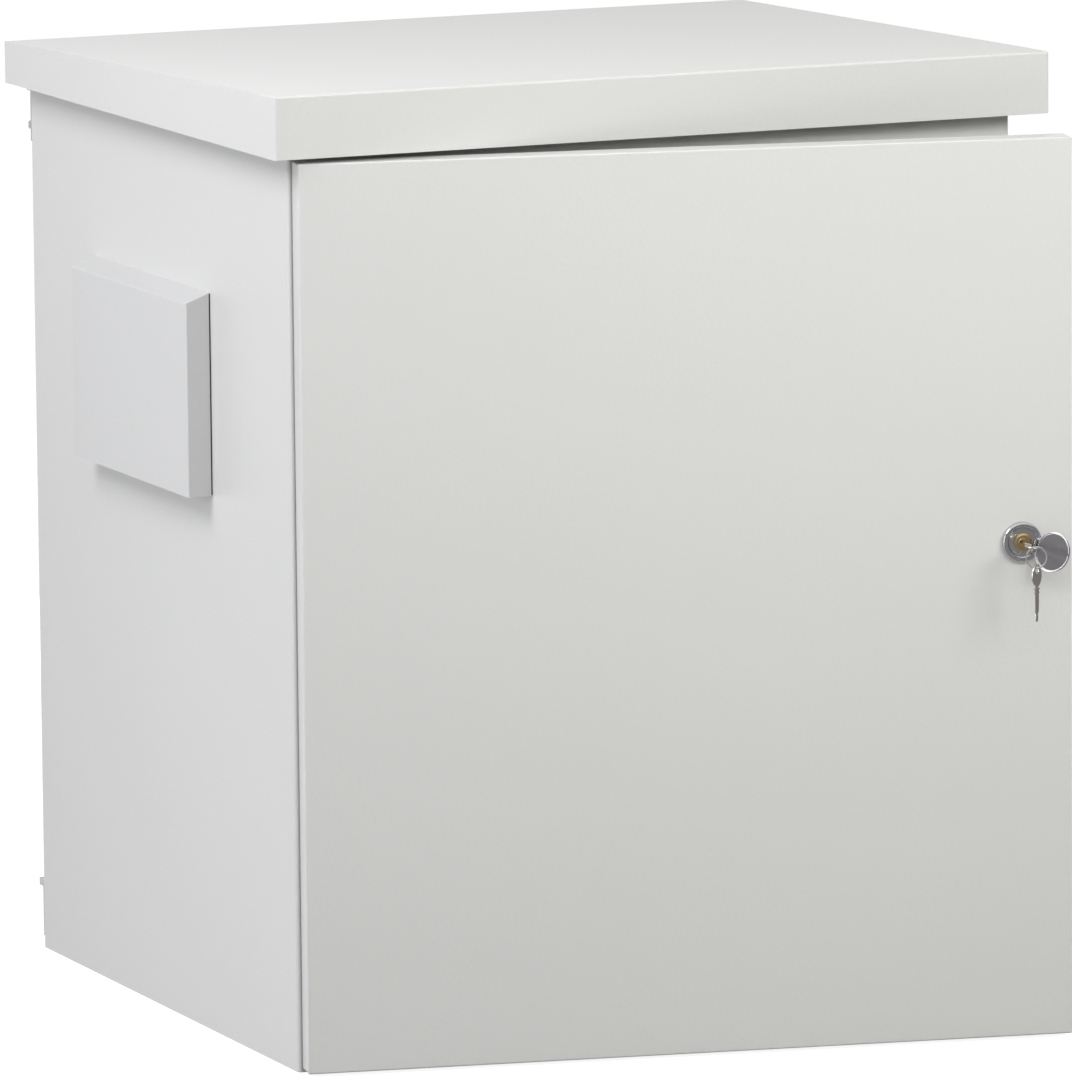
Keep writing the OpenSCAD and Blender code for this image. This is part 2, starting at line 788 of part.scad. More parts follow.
// Grommets: a grooved rubber ring in each hole of the gland plate
module cable_grommets() {
    lip_r = grommet_seat_r + grommet_lip;
    seat_r = grommet_seat_r - press_gap;
    color(rubber) at_grommets() rotate_extrude() polygon(
        [[grommet_bore_r, grommet_low], [lip_r - grommet_edge, grommet_low], [lip_r, sheet],
            [seat_r, sheet], [seat_r, gland_z], [lip_r, gland_z],
            [lip_r - grommet_edge, gland_z + grommet_crown],
            [grommet_bore_r + grommet_wall, grommet_top], [grommet_bore_r, grommet_top]]);
}

// Rack rail at the right front: an angle with square holes
module rack_rail() {
    offsets = [unit_h / 7, unit_h / 2, unit_h * 6 / 7];
    color(zinc) difference() {
        union() {
            box([rail_in, rail_y0, rail_z0], [rail_out, rail_y0 + rail_t, rail_z1]);
            box([rail_out - rail_t, rail_y0, rail_z0], [rail_out, rail_y0 + rail_d, rail_z1]);
        }
        for (u = [0:units - 1], o = offsets)
            translate([rack_holes / 2, rail_y0 + rail_t / 2, unit_z0 + u * unit_h + o])
                cube([rack_hole, rail_t + 2 * over, rack_hole], center = true);
        for (z = rail_bolt_zs) rod_x([rail_out - rail_t - over, rail_y0 + rail_bolt_in, z],
            rail_bolt_r + clear, rail_t + 2 * over);
    }
}

// Turns a piece of the front rails round to the rear rails
module at_rear() {
    translate([0, rail_y0 + rail_y1, 0]) mirror([0, 1, 0]) children();
}
module front_right_rail() {
    rack_rail();
}
module front_left_rail() {
    on_left() rack_rail();
}
module rear_right_rail() {
    at_rear() rack_rail();
}
module rear_left_rail() {
    on_left() at_rear() rack_rail();
}

// Depth rail on the right wall: a hat section that carries the rack rails
module depth_rail(z) {
    z1 = z + depth_rail_h;
    color(zinc) difference() {
        along_y(rail_y0 - depth_rail_past, rail_y1 + depth_rail_past) polygon(
            [[in_x, z - depth_rail_lip], [in_x, z + rail_t], [rail_out + rail_t, z + rail_t],
                [rail_out + rail_t, z1 - rail_t], [in_x, z1 - rail_t], [in_x, z1 + depth_rail_lip],
                [in_x - rail_t, z1 + depth_rail_lip], [in_x - rail_t, z1], [rail_out, z1],
                [rail_out, z], [in_x - rail_t, z], [in_x - rail_t, z - depth_rail_lip]]);
        for (y = [rail_y0 + rail_bolt_in, rail_y1 - rail_bolt_in])
            rod_x([rail_out - over, y, z + depth_rail_h / 2], rail_bolt_r + clear, rail_t + 2 * over);
    }
}
module lower_right_depth_rail() {
    depth_rail(depth_rail_zs[0]);
}
module lower_left_depth_rail() {
    on_left() depth_rail(depth_rail_zs[0]);
}
module upper_right_depth_rail() {
    depth_rail(depth_rail_zs[1]);
}
module upper_left_depth_rail() {
    on_left() depth_rail(depth_rail_zs[1]);
}

// Places the bolts that hold the rack rails to the depth rails
module at_rail_bolts() {
    both_sides() for (y = [rail_y0 + rail_bolt_in, rail_y1 - rail_bolt_in], z = rail_bolt_zs)
        translate([rail_out, y, z]) rotate([0, 90, 0]) children();
}
module rail_bolts() {
    head_t = 4;
    color(zinc) at_rail_bolts() {
        translate([0, 0, -rail_t - head_t])
            cylinder(r = rail_bolt_r, h = head_t + 2 * rail_t + rail_nut_t + bolt_past);
        translate([0, 0, -rail_t - head_t]) hex(rail_nut_af, head_t);
    }
}
module rail_nuts() {
    color(zinc) at_rail_bolts() translate([0, 0, rail_t]) difference() {
        hex(rail_nut_af, rail_nut_t);
        translate([0, 0, -over]) cylinder(r = rail_bolt_r + press_gap, h = rail_nut_t + 2 * over);
    }
}

// Wall bracket at the right: a plate on the back wall with a foot at one end
module wall_bracket(z0, foot_z, bolt_z, anchor_z) {
    color(zinc) difference() {
        union() {
            box([bracket_x0, back_y, z0], [bracket_x0 + bracket_w, back_y + bracket_t, z0 + bracket_h]);
            box([bracket_x0 + bracket_w - foot_w, back_y, foot_z],
                [bracket_x0 + bracket_w, back_y + foot_out, foot_z + foot_h]);
        }
        rod_y([bracket_bolt_x, back_y - over, bolt_z], bracket_bolt_r + clear, bracket_t + 2 * over);
        rod_y([half_w - anchor_side, back_y - over, anchor_z], anchor_r, bracket_t + 2 * over);
    }
}
module lower_right_bracket() {
    wall_bracket(bracket_low, bracket_low + bracket_h - foot_h, bracket_bolt_zs[0], anchor_zs[0]);
}
module lower_left_bracket() {
    on_left() lower_right_bracket();
}
module upper_right_bracket() {
    wall_bracket(bracket_z1 - bracket_h, bracket_z1 - foot_h, bracket_bolt_zs[1], anchor_zs[1]);
}
module upper_left_bracket() {
    on_left() upper_right_bracket();
}

// Places a bracket bolt on the outer face of the plate, with its head towards plus
module at_bracket_bolts(z) {
    both_sides() translate([bracket_bolt_x, back_y + bracket_t, z]) rotate([-90, 0, 0]) children();
}
module bracket_shank() {
    l = bracket_t + sheet + bracket_nut_t + stud_past;
    translate([0, 0, -l]) cylinder(r = bracket_bolt_r, h = l + 2 * washer_t);
    cylinder(r = washer_r, h = washer_t);
}
module upper_bracket_bolts() {
    color(zinc) at_bracket_bolts(bracket_bolt_zs[1]) {
        bracket_shank();
        translate([0, 0, washer_t]) hex(bracket_head_af, bracket_head_t);
    }
}
module lower_bracket_bolts() {
    color(zinc) at_bracket_bolts(bracket_bolt_zs[0]) {
        bracket_shank();
        translate([0, 0, washer_t]) intersection() {
            sphere(r = washer_r);
            cylinder(r = washer_r + over, h = washer_r + over);
        }
    }
}
module bracket_nuts() {
    color(zinc) for (z = bracket_bolt_zs) at_bracket_bolts(z)
        translate([0, 0, -bracket_t - sheet - bracket_nut_t]) difference() {
            hex(bracket_nut_af, bracket_nut_t);
            translate([0, 0, -over])
                cylinder(r = bracket_bolt_r + press_gap, h = bracket_nut_t + 2 * over);
        }
}

// A nut on an earthing stud, lying on its seat
module ground_nut() {
    color(brass) difference() {
        hex(ground_nut_af, ground_nut_t);
        translate([0, 0, -over]) cylinder(r = ground_r + press_gap, h = ground_nut_t + 2 * over);
    }
}
module body_ground_nut() {
    translate([ground_x, in_front + ground_z, sheet]) ground_nut();
}
module door_ground_nut() {
    ajar() translate([-ground_x, door_skin, ground_z]) rotate([-90, 0, 0]) ground_nut();
}

// Places the screws of both frame leaves
module at_leaf_screws() {
    for (h = hinge_zs, s = [-1, 1]) translate([0, 0, h + s * leaf_screw_z]) children();
}

// Frame leaf: a plate on the rim with an arm that reaches the hinge axis
module frame_leaf(h) {
    color(zinc) difference() {
        union() {
            box([-rim_x - frame_leaf_t, hinge_y - web_front, h - frame_leaf_h / 2],
                [-rim_x, front_y, h + frame_leaf_h / 2]);
            box([hinge_x, hinge_y - web_front, h - barrel_l / 2],
                [-rim_x, hinge_y + web_back, h + barrel_l / 2]);
            translate([hinge_x, hinge_y, h - barrel_l / 2]) cylinder(r = barrel_r, h = barrel_l);
        }
        translate([hinge_x, hinge_y, h - barrel_l / 2 - over])
            cylinder(r = pin_r + pin_gap, h = barrel_l + 2 * over);
        at_leaf_screws() rod_x([-rim_x - frame_leaf_t - over, leaf_screw_y, 0],
            leaf_screw_r + press_gap, frame_leaf_t + 2 * over);
    }
}
module lower_frame_leaf() {
    frame_leaf(hinge_zs[0]);
}
module upper_frame_leaf() {
    frame_leaf(hinge_zs[1]);
}

module frame_leaf_screws() {
    head_t = 2.4;
    color(zinc) at_leaf_screws() {
        rod_x([-rim_x - frame_leaf_t, leaf_screw_y, 0], leaf_screw_r, frame_leaf_t + sheet);
        rod_x([-rim_x + sheet, leaf_screw_y, 0], 1.8 * leaf_screw_r, head_t);
    }
}

// Door leaf: a plate on the door's skin with two ears around the barrel
module door_leaf(h) {
    ear_z = barrel_l / 2 + ear_gap;
    leaf_y = door_skin + door_leaf_t;
    color(zinc) ajar() difference() {
        union() {
            box([door_leaf_x0, door_skin, h - door_leaf_h / 2],
                [door_leaf_x1, leaf_y, h + door_leaf_h / 2]);
            for (z = [h - ear_z - ear_t, h + ear_z]) {
                box([hinge_x - barrel_r, door_skin, z], [hinge_x + barrel_r, hinge_y, z + ear_t]);
                translate([hinge_x, hinge_y, z]) cylinder(r = barrel_r, h = ear_t);
            }
        }
        translate([hinge_x, hinge_y, h - ear_z - ear_t - over])
            cylinder(r = pin_r + press_gap, h = 2 * (ear_z + ear_t + over));
        at_door_studs(h) translate([0, 0, -over]) cylinder(r = door_stud_r + clear, h = 2 * leaf_room);
    }
}
module lower_door_leaf() {
    door_leaf(hinge_zs[0]);
}
module upper_door_leaf() {
    door_leaf(hinge_zs[1]);
}

// Places the weld studs that hold a door leaf, pointing into the door
module at_door_studs(h) {
    for (s = [-1, 1]) translate([(door_leaf_x0 + door_leaf_x1) / 2, door_skin, h + s * door_stud_z])
        rotate([-90, 0, 0]) children();
}

module door_leaf_nuts() {
    color(zinc) ajar() for (h = hinge_zs) at_door_studs(h)
        translate([0, 0, door_leaf_t]) difference() {
            hex(3.5 * door_stud_r, door_nut_t);
            translate([0, 0, -over]) cylinder(r = door_stud_r + press_gap, h = door_nut_t + 2 * over);
        }
}

// Hinge pin: pressed into the ears, with a flat head on top
module hinge_pin(h) {
    pin_z = barrel_l / 2 + ear_gap + ear_t;
    head_t = 1.2;
    head_out = 1;
    color(zinc) ajar() translate([hinge_x, hinge_y, h]) {
        translate([0, 0, -pin_z]) cylinder(r = pin_r, h = 2 * pin_z);
        translate([0, 0, pin_z]) cylinder(r = pin_r + head_out, h = head_t);
    }
}
module lower_hinge_pin() {
    hinge_pin(hinge_zs[0]);
}
module upper_hinge_pin() {
    hinge_pin(hinge_zs[1]);
}

// Door: a folded pan with a lip at its back, a lock hole and weld studs
module door_panel() {
    color(paint) ajar() {
        difference() {
            intersection() {
                translate([0, 0, door_z0]) linear_extrude(door_z1 - door_z0) polygon(rounded(
                    rect(-door_x, door_front, door_x, door_rear), [door_r, door_r, 0, 0]));
                along_x(-door_x, door_x) polygon(rounded(
                    rect(door_front, door_z0, door_rear, door_z1), [door_r, 0, 0, door_r]));
                along_y(door_front, door_rear) polygon(rounded(
                    rect(-door_x, door_z0, door_x, door_z1), [for (i = [1:4]) door_r]));
            }
            box([-door_x + sheet, door_skin, door_z0 + sheet],
                [door_x - sheet, door_rear - sheet, door_z1 - sheet]);
            box([-door_x + door_lip, door_skin, door_z0 + door_lip],
                [door_x - door_lip, door_rear + over, door_z1 - door_lip]);
            for (h = hinge_zs) box([-door_x + sheet, door_skin, h - frame_leaf_h / 2 - leaf_room],
                [0, door_rear + over, h + frame_leaf_h / 2 + leaf_room]);
            rod_y([lock_x, door_front - over, lock_z], lock_barrel_r + soft_gap, sheet + 2 * over);
        }
        for (h = hinge_zs) at_door_studs(h)
            cylinder(r = door_stud_r, h = door_leaf_t + door_nut_t + stud_past);
        rod_y([-ground_x, door_skin, ground_z], ground_r, 2 * ground_nut_t);
    }
}

module door_gasket() {
    out = gasket_w / 2;
    z0 = rim_z0 + sheet / 2;
    z1 = rim_z1 - sheet / 2;
    color(foam) ajar() difference() {
        box([-gasket_x - out, door_skin, z0 - out], [gasket_x + out, gasket_rear, z1 + out]);
        box([-gasket_x + out, door_skin - over, z0 + out],
            [gasket_x - out, gasket_rear + over, z1 - out]);
    }
}

// Door strip: a channel with a row of holes, open towards the skin
module door_strip(x) {
    z0 = door_z0 + strip_end;
    z1 = door_z1 - strip_end;
    holes = floor((z1 - z0 - strip_pitch) / strip_pitch);
    color(zinc) ajar() difference() {
        box([x - strip_w / 2, door_skin, z0], [x + strip_w / 2, door_skin + strip_d, z1]);
        box([x - strip_w / 2 + sheet, door_skin - over, z0 - over],
            [x + strip_w / 2 - sheet, door_skin + strip_d - sheet, z1 + over]);
        for (i = [0:holes]) rod_y([x, door_skin + strip_d - sheet - over,
            (z0 + z1) / 2 + (i - holes / 2) * strip_pitch], strip_hole_r, sheet + 2 * over);
    }
}
module left_door_strip() {
    door_strip(-strip_x);
}
module right_door_strip() {
    door_strip(strip_x);
}

// The lock's frame: X right, Y up, Z out of the door
module at_lock() {
    ajar() translate([lock_x, door_front, lock_z]) rotate([90, 0, 0]) children();
}

// The cover's hinge: X away from the lock's axis, Y along the hinge
module at_cover_hinge() {
    at_lock() rotate([0, 0, -key_tilt]) translate([cover_hinge, 0, cover_pivot_z]) children();
}

// A short rod along Y, centred
module hinge_rod(r, l) {
    rotate([90, 0, 0]) cylinder(r = r, h = l, center = true);
}

// Lock base: a turned cup with a threaded barrel, and two ears for the cover
module lock_base() {
    ear_y = cover_slot / 2 + cover_ear_l;
    rim_r = lock_r - lock_bevel;
    color(chrome) {
        at_lock() difference() {
            union() {
                rotate_extrude($fn = 96) polygon(
                    [[lock_bore_r, lock_h], [rim_r - lock_rim_w, lock_h],
                        [rim_r - lock_rim_w + lock_rim_edge, lock_h + lock_rim],
                        [rim_r - lock_rim_edge, lock_h + lock_rim], [rim_r, lock_h],
                        [lock_r, lock_side], [lock_r, 0],
                        [lock_barrel_r, 0], [lock_barrel_r, lock_rear], [lock_bore_r, lock_rear]]);
                rotate([0, 0, -key_tilt]) translate([cover_hinge, 0, 0]) {
                    translate([0, 0, cover_pivot_z]) hinge_rod(cover_knuckle_r, 2 * ear_y);
                    translate([-cover_knuckle_r, -ear_y, lock_h / 2])
                        cube([2 * cover_knuckle_r, 2 * ear_y, cover_pivot_z - lock_h / 2]);
                }
            }
            rotate([0, 0, -key_tilt]) translate([cover_hinge, 0, 0]) {
                translate([-cover_knuckle_r - soft_gap, -cover_slot / 2, cover_slot_z])
                    cube([lock_r, cover_slot, cover_pivot_z + over]);
                translate([0, 0, cover_pivot_z]) hinge_rod(cover_pin_r + press_gap, 2 * ear_y + over);
            }
            rotate([0, 0, 180 - key_tilt]) translate([rim_r, 0, lock_h])
                cylinder(r = lock_notch_r, h = 2 * over, center = true);
        }
    }
}

module cover_pin() {
    color(chrome) at_cover_hinge() hinge_rod(cover_pin_r, cover_slot + 2 * cover_ear_l);
}

module lock_nut() {
    color(zinc) at_lock() translate([0, 0, -sheet - lock_nut_t]) difference() {
        hex(lock_nut_af, lock_nut_t);
        translate([0, 0, -over]) cylinder(r = lock_barrel_r + press_gap, h = lock_nut_t + 2 * over);
    }
}

// Plug: a brass barrel with a stepped head, a keyway and a stud for the cam
module lock_plug() {
    key_deep = shank_l + tip_l + over;
    stud_end = cam_front - cam_t - cam_nut_t - cam_stud_past;
    color(brass) at_lock() difference() {
        rotate_extrude() polygon(
            [[0, plug_face], [plug_groove[0], plug_face], [plug_groove[1], plug_face - plug_groove_t],
                [plug_groove[2], plug_face - plug_groove_t], [plug_groove[3], plug_face],
                [plug_crown_r, plug_face], [plug_head_r, plug_head_z + plug_step],
                [plug_head_r, plug_head_z], [plug_r, plug_head_z], [plug_r, cam_front],
                [stud_r, cam_front], [stud_r, stud_end], [0, stud_end]]);
        rotate([0, 0, -key_tilt]) translate([0, 0, plug_face + over - key_deep / 2])
            cube([shank_w + 2 * keyway_gap, key_t + 2 * keyway_gap, key_deep + 2 * over],
                center = true);
    }
}

// Cam: a rounded strip that points up while the lock is open
module lock_cam() {
    hub_r = cam_w / 2 + cam_hub;
    color(zinc) at_lock() translate([0, 0, cam_front - cam_t]) linear_extrude(cam_t) difference() {
        union() {
            circle(r = hub_r);
            translate([-cam_w / 2, 0]) square([cam_w, cam_reach - cam_w / 2]);
            translate([0, cam_reach - cam_w / 2]) circle(r = cam_w / 2);
        }
        circle(r = stud_r + press_gap);
    }
}

module cam_nut() {
    color(zinc) at_lock() translate([0, 0, cam_front - cam_t - cam_nut_t]) difference() {
        hex(cam_nut_af, cam_nut_t);
        translate([0, 0, -over]) cylinder(r = stud_r + press_gap, h = cam_nut_t + 2 * over);
    }
}

// Cover: a shallow round lid on a tongue and knuckle, standing open
module lock_cover() {
    side = 2 * cover_r + 2 * over;
    color(chrome) at_cover_hinge() rotate([0, cover_rest, 0]) difference() {
        union() {
            difference() {
                translate([-cover_reach, 0, cover_low - cover_lip])
                    cylinder(r = cover_r, h = cover_t + cover_lip, $fn = 96);
                translate([-cover_reach, 0, cover_low - cover_lip - over])
                    cylinder(r = cover_r - cover_rim_w, h = cover_lip + over, $fn = 96);
                translate([-cover_near, -side / 2, -side / 2]) cube(side);
            }
            hinge_rod(cover_knuckle_r, cover_knuckle_l);
            translate([-cover_near - over, -cover_knuckle_l / 2, cover_low])
                cube([cover_near + over, cover_knuckle_l, cover_knuckle_r - cover_low]);
        }
        hinge_rod(cover_pin_r + pin_gap, cover_knuckle_l + over);
    }
}

// Key, flat in X and Y: a leaf-shaped bow with a hole, a collar, a shank and a thin tip
module key() {
    lens_r = (bow_l * bow_l + bow_w * bow_w) / (4 * bow_w);
    translate([0, 0, -key_t / 2]) linear_extrude(key_t) difference() {
        union() {
            intersection_for (s = [-1, 1])
                translate([s * (lens_r - bow_w / 2), bow_l / 2]) circle(r = lens_r);
            translate([-shank_w / 2, -collar_l - shank_l])
                square([shank_w, collar_l + shank_l + collar_l / 2]);
            translate([-tip_w / 2, -collar_l - shank_l - tip_l]) square([tip_w, tip_l + over]);
        }
        translate([0, bow_hole]) circle(r = bow_hole_r);
    }
    translate([-collar_w / 2, -collar_l, -collar_t / 2]) cube([collar_w, collar_l, collar_t]);
}

// The inserted key: its plane holds the lock's axis and the keyway's slanted line
module lock_key() {
    color(chrome) at_lock() rotate([0, 0, -key_tilt]) translate([0, 0, key_seat])
        rotate([90, 0, 0]) key();
}

// Ring: hangs on the right edge of the inserted key's hole, parallel to the door
module key_ring() {
    color(chrome) at_lock() translate(ring_at) rotate_extrude($fn = 64)
        translate([ring_r, 0]) circle(r = ring_wire_r, $fn = 24);
}

// Spare key: hangs from the bottom of the ring, turned half towards the hinges
module spare_key() {
    color(chrome) at_lock() translate(ring_at - [0, ring_r + spare_hang, 0])
        rotate([0, spare_turn, 0]) translate([0, -bow_hole, 0]) key();
}

body_shell();
floor_pan();
ceiling_panel();
roof_cap();
front_roof_support();
rear_roof_support();
roof_bolts();
left_vent_hood();
right_vent_hood();
left_filter_frame();
right_filter_frame();
left_filter_mat();
right_filter_mat();
left_hood_bolts();
right_hood_bolts();
gland_plate();
gland_screws();
cable_grommets();
front_left_rail();
front_right_rail();
rear_left_rail();
rear_right_rail();
lower_left_depth_rail();
lower_right_depth_rail();
upper_left_depth_rail();
upper_right_depth_rail();
rail_bolts();
rail_nuts();
upper_left_bracket();
upper_right_bracket();
lower_left_bracket();
lower_right_bracket();
upper_bracket_bolts();
lower_bracket_bolts();
bracket_nuts();
body_ground_nut();
upper_frame_leaf();
lower_frame_leaf();
frame_leaf_screws();
door_panel();
door_gasket();
left_door_strip();
right_door_strip();
upper_door_leaf();
lower_door_leaf();
upper_hinge_pin();
lower_hinge_pin();
door_leaf_nuts();
door_ground_nut();
lock_base();
lock_nut();
cover_pin();
lock_plug();
lock_cam();
cam_nut();
lock_key();
lock_cover();
key_ring();
spare_key();
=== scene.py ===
import json
import math
import bpy
import numpy as np
from mathutils import Matrix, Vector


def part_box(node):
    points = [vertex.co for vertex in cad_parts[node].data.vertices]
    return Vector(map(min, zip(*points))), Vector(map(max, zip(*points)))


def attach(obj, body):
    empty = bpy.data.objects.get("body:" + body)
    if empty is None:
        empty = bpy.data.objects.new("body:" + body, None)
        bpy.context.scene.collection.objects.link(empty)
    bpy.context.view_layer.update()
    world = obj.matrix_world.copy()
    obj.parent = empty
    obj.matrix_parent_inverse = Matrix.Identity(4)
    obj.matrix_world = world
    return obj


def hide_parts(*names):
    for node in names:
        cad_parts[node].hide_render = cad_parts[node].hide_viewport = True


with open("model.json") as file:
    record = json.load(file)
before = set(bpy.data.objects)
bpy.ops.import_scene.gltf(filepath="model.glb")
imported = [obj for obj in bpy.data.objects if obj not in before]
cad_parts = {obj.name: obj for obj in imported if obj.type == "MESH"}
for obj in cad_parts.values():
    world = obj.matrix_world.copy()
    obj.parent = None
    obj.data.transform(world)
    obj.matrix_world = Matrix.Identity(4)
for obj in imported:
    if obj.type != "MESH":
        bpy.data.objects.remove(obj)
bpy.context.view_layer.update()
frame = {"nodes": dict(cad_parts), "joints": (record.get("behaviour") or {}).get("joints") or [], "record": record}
nodes = frame["nodes"]
record = frame["record"]
joints = {joint["name"]: joint for joint in frame["joints"]}
slotOf = {part["node"]: part["material_slot"] for part in record["subparts"]}
scene = bpy.context.scene
scene.view_settings.view_transform = "Standard"

# axes of the door at rest: along it, up it and out of it
doorOut = -np.array(joints["lock_turn"]["axis"])
doorUp = np.array([0.0, 0.0, 1.0])
doorAlong = np.cross(doorUp, doorOut)
doorAxes = np.array([doorAlong, doorUp, doorOut])
lockAt = np.array(joints["lock_turn"]["pos_m"])


# camera: turned to the left of the door and tilted down onto the roof
cameraView = {
    "turn": math.radians(-23.486),
    "tilt": math.radians(9.146),
    "roll": math.radians(-0.5),
    "focus": 9.782,  # focal length over the width of the frame
    "aim": np.array([-0.0968, -0.27, 0.3943]),
    "distance": 8.0224,
    "sensor": 36.0,
    "farthest": 100.0,
}


def placeCamera(view):
    turn, tilt, roll = view["turn"], view["tilt"], view["roll"]
    back = np.array([math.sin(turn) * math.cos(tilt), -math.cos(turn) * math.cos(tilt), math.sin(tilt)])
    right = np.array([math.cos(turn), math.sin(turn), 0.0])
    up = np.cross(back, right)
    pose = np.eye(4)
    pose[:3, 0] = math.cos(roll) * right + math.sin(roll) * up
    pose[:3, 1] = math.cos(roll) * up - math.sin(roll) * right
    pose[:3, 2] = back
    pose[:3, 3] = view["aim"] + view["distance"] * back
    data = bpy.data.cameras.new("photoCamera")
    data.sensor_width = view["sensor"]
    data.lens = view["focus"] * view["sensor"]
    data.clip_end = view["farthest"]
    camera = bpy.data.objects.new("photoCamera", data)
    scene.collection.objects.link(camera)
    camera.matrix_world = Matrix(pose.tolist())
    return camera


scene.camera = placeCamera(cameraView)
print("camera placed")


# places a node, sets its values and links the sockets it is given
def put(tree, kind, inputs=None, **settings):
    made = tree.nodes.new(kind)
    for key, value in settings.items():
        setattr(made, key, value)
    for key, value in (inputs or {}).items():
        if isinstance(value, bpy.types.NodeSocket):
            tree.links.new(value, made.inputs[key])
        else:
            made.inputs[key].default_value = value
    return made


def mathNode(tree, operation, first, second):
    return put(tree, "ShaderNodeMath", {0: first, 1: second}, operation=operation).outputs[0]


# noise about zero: its value less a half, times an amount
def swingNode(tree, noise, amount):
    return mathNode(tree, "MULTIPLY", mathNode(tree, "SUBTRACT", noise.outputs["Fac"], 0.5), amount)


# one colour times another: sockets 6 and 7 take the two and output 2 gives the product
def timesColor(tree, first, second):
    mixed = put(tree, "ShaderNodeMix", {0: 1.0, 6: first, 7: second}, data_type="RGBA", blend_type="MULTIPLY")
    return mixed.outputs[2]


# an empty shader group with named sockets
def newGroup(name, inputs, outputs):
    tree = bpy.data.node_groups.new(name, "ShaderNodeTree")
    for label, kind, value in inputs:
        tree.interface.new_socket(label, in_out="INPUT", socket_type=kind).default_value = value
    for label, kind in outputs:
        tree.interface.new_socket(label, in_out="OUTPUT", socket_type=kind)
    return tree, tree.nodes.new("NodeGroupInput").outputs, tree.nodes.new("NodeGroupOutput").inputs


def objectCoordinates(tree):
    return put(tree, "ShaderNodeTexCoord").outputs["Object"]


# slow drift of tone over a surface: colour times 1 plus or minus an amount
def makeToneDrift():
    tree, given, result = newGroup(
        "toneDrift",
        [("Color", "NodeSocketColor", (0.5, 0.5, 0.5, 1)), ("Amount", "NodeSocketFloat", 0.03),
         ("Scale", "NodeSocketFloat", 6.0)],
        [("Color", "NodeSocketColor")])
    noise = put(tree, "ShaderNodeTexNoise",
                {"Vector": objectCoordinates(tree), "Scale": given["Scale"], "Detail": 3.0})
    # the swing reaches half the amount either way, so it counts twice
    gain = mathNode(tree, "MULTIPLY_ADD", swingNode(tree, noise, given["Amount"]), 2.0)
    gain.node.inputs[2].default_value = 1.0
    tree.links.new(timesColor(tree, given["Color"], gain), result["Color"])
    return tree


# fine grain: two sizes of noise as a bump, the second finer and with a smaller share
grainMix = {"finer": 2.3, "share": 0.5}


def makeFineGrain(mix):
    tree, given, result = newGroup(
        "fineGrain",
        [("Scale", "NodeSocketFloat", 500.0), ("Depth", "NodeSocketFloat", 0.0001),
         ("Strength", "NodeSocketFloat", 0.3)],
        [("Normal", "NodeSocketVector"), ("Height", "NodeSocketFloat")])
    where = objectCoordinates(tree)
    coarse = put(tree, "ShaderNodeTexNoise", {"Vector": where, "Scale": given["Scale"], "Detail": 2.0})
    finer = mathNode(tree, "MULTIPLY", given["Scale"], mix["finer"])
    fine = put(tree, "ShaderNodeTexNoise", {"Vector": where, "Scale": finer, "Detail": 1.0})
    height = mathNode(tree, "ADD", coarse.outputs["Fac"],
                      mathNode(tree, "MULTIPLY", fine.outputs["Fac"], mix["share"]))
    bump = put(tree, "ShaderNodeBump",
               {"Height": height, "Distance": given["Depth"], "Strength": given["Strength"]})
    tree.links.new(bump.outputs["Normal"], result["Normal"])
    tree.links.new(height, result["Height"])
    return tree


# rubbed metal: roughness that varies in fine level streaks
streakLook = {"squeeze": (1.0, 1.0, 9.0), "least": 0.02}


def makeRubbedMetal(look):
    tree, given, result = newGroup(
        "rubbedMetal",
        [("Roughness", "NodeSocketFloat", 0.1), ("Spread", "NodeSocketFloat", 0.05),
         ("Scale", "NodeSocketFloat", 300.0)],
        [("Roughness", "NodeSocketFloat")])
    where = put(tree, "ShaderNodeMapping", {"Vector": objectCoordinates(tree), "Scale": look["squeeze"]})
    streaks = put(tree, "ShaderNodeTexNoise",
                  {"Vector": where.outputs[0], "Scale": given["Scale"], "Detail": 4.0})
    swing = swingNode(tree, streaks, given["Spread"])
    rough = mathNode(tree, "MAXIMUM", mathNode(tree, "ADD", given["Roughness"], swing), look["least"])
    tree.links.new(rough, result["Roughness"])
    return tree


toneDrift = makeToneDrift()
fineGrain = makeFineGrain(grainMix)
rubbedMetal = makeRubbedMetal(streakLook)


def newMaterial(name):
    material = bpy.data.materials.new(name)
    material.use_nodes = True
    tree = material.node_tree
    return material, tree, tree.nodes["Principled BSDF"]


def placeGroup(tree, group, values):
    return put(tree, "ShaderNodeGroup", values, node_tree=group).outputs


def driftedColor(tree, color, look):
    values = {"Color": color, "Amount": look["drift"], "Scale": look["driftScale"]}
    return placeGroup(tree, toneDrift, values)["Color"]


def surfaceGrain(tree, look):
    values = {"Scale": look["grainScale"], "Depth": look["grainDepth"], "Strength": look["grainStrength"]}
    return placeGroup(tree, fineGrain, values)


def rubbedRoughness(tree, look):
    values = {"Roughness": look["rough"], "Spread": look["spread"], "Scale": look["streakScale"]}
    return placeGroup(tree, rubbedMetal, values)["Roughness"]


# powder coat: pale grey with a fine orange peel, and a darker copy on the vent hoods as painted shade;
# the peel's height, from grainLow to grainHigh, spreads the roughness about its middle
paintLook = {
    "color": (0.70, 0.70, 0.688, 1), "hoodShadedColor": (0.655, 0.657, 0.65, 1), "drift": 0.012, "driftScale": 5.0,
    "grainScale": 330.0, "grainDepth": 0.00016, "grainStrength": 1.0, "grainLow": 0.4, "grainHigh": 1.1,
    "rough": 0.32, "spread": 0.05,
}


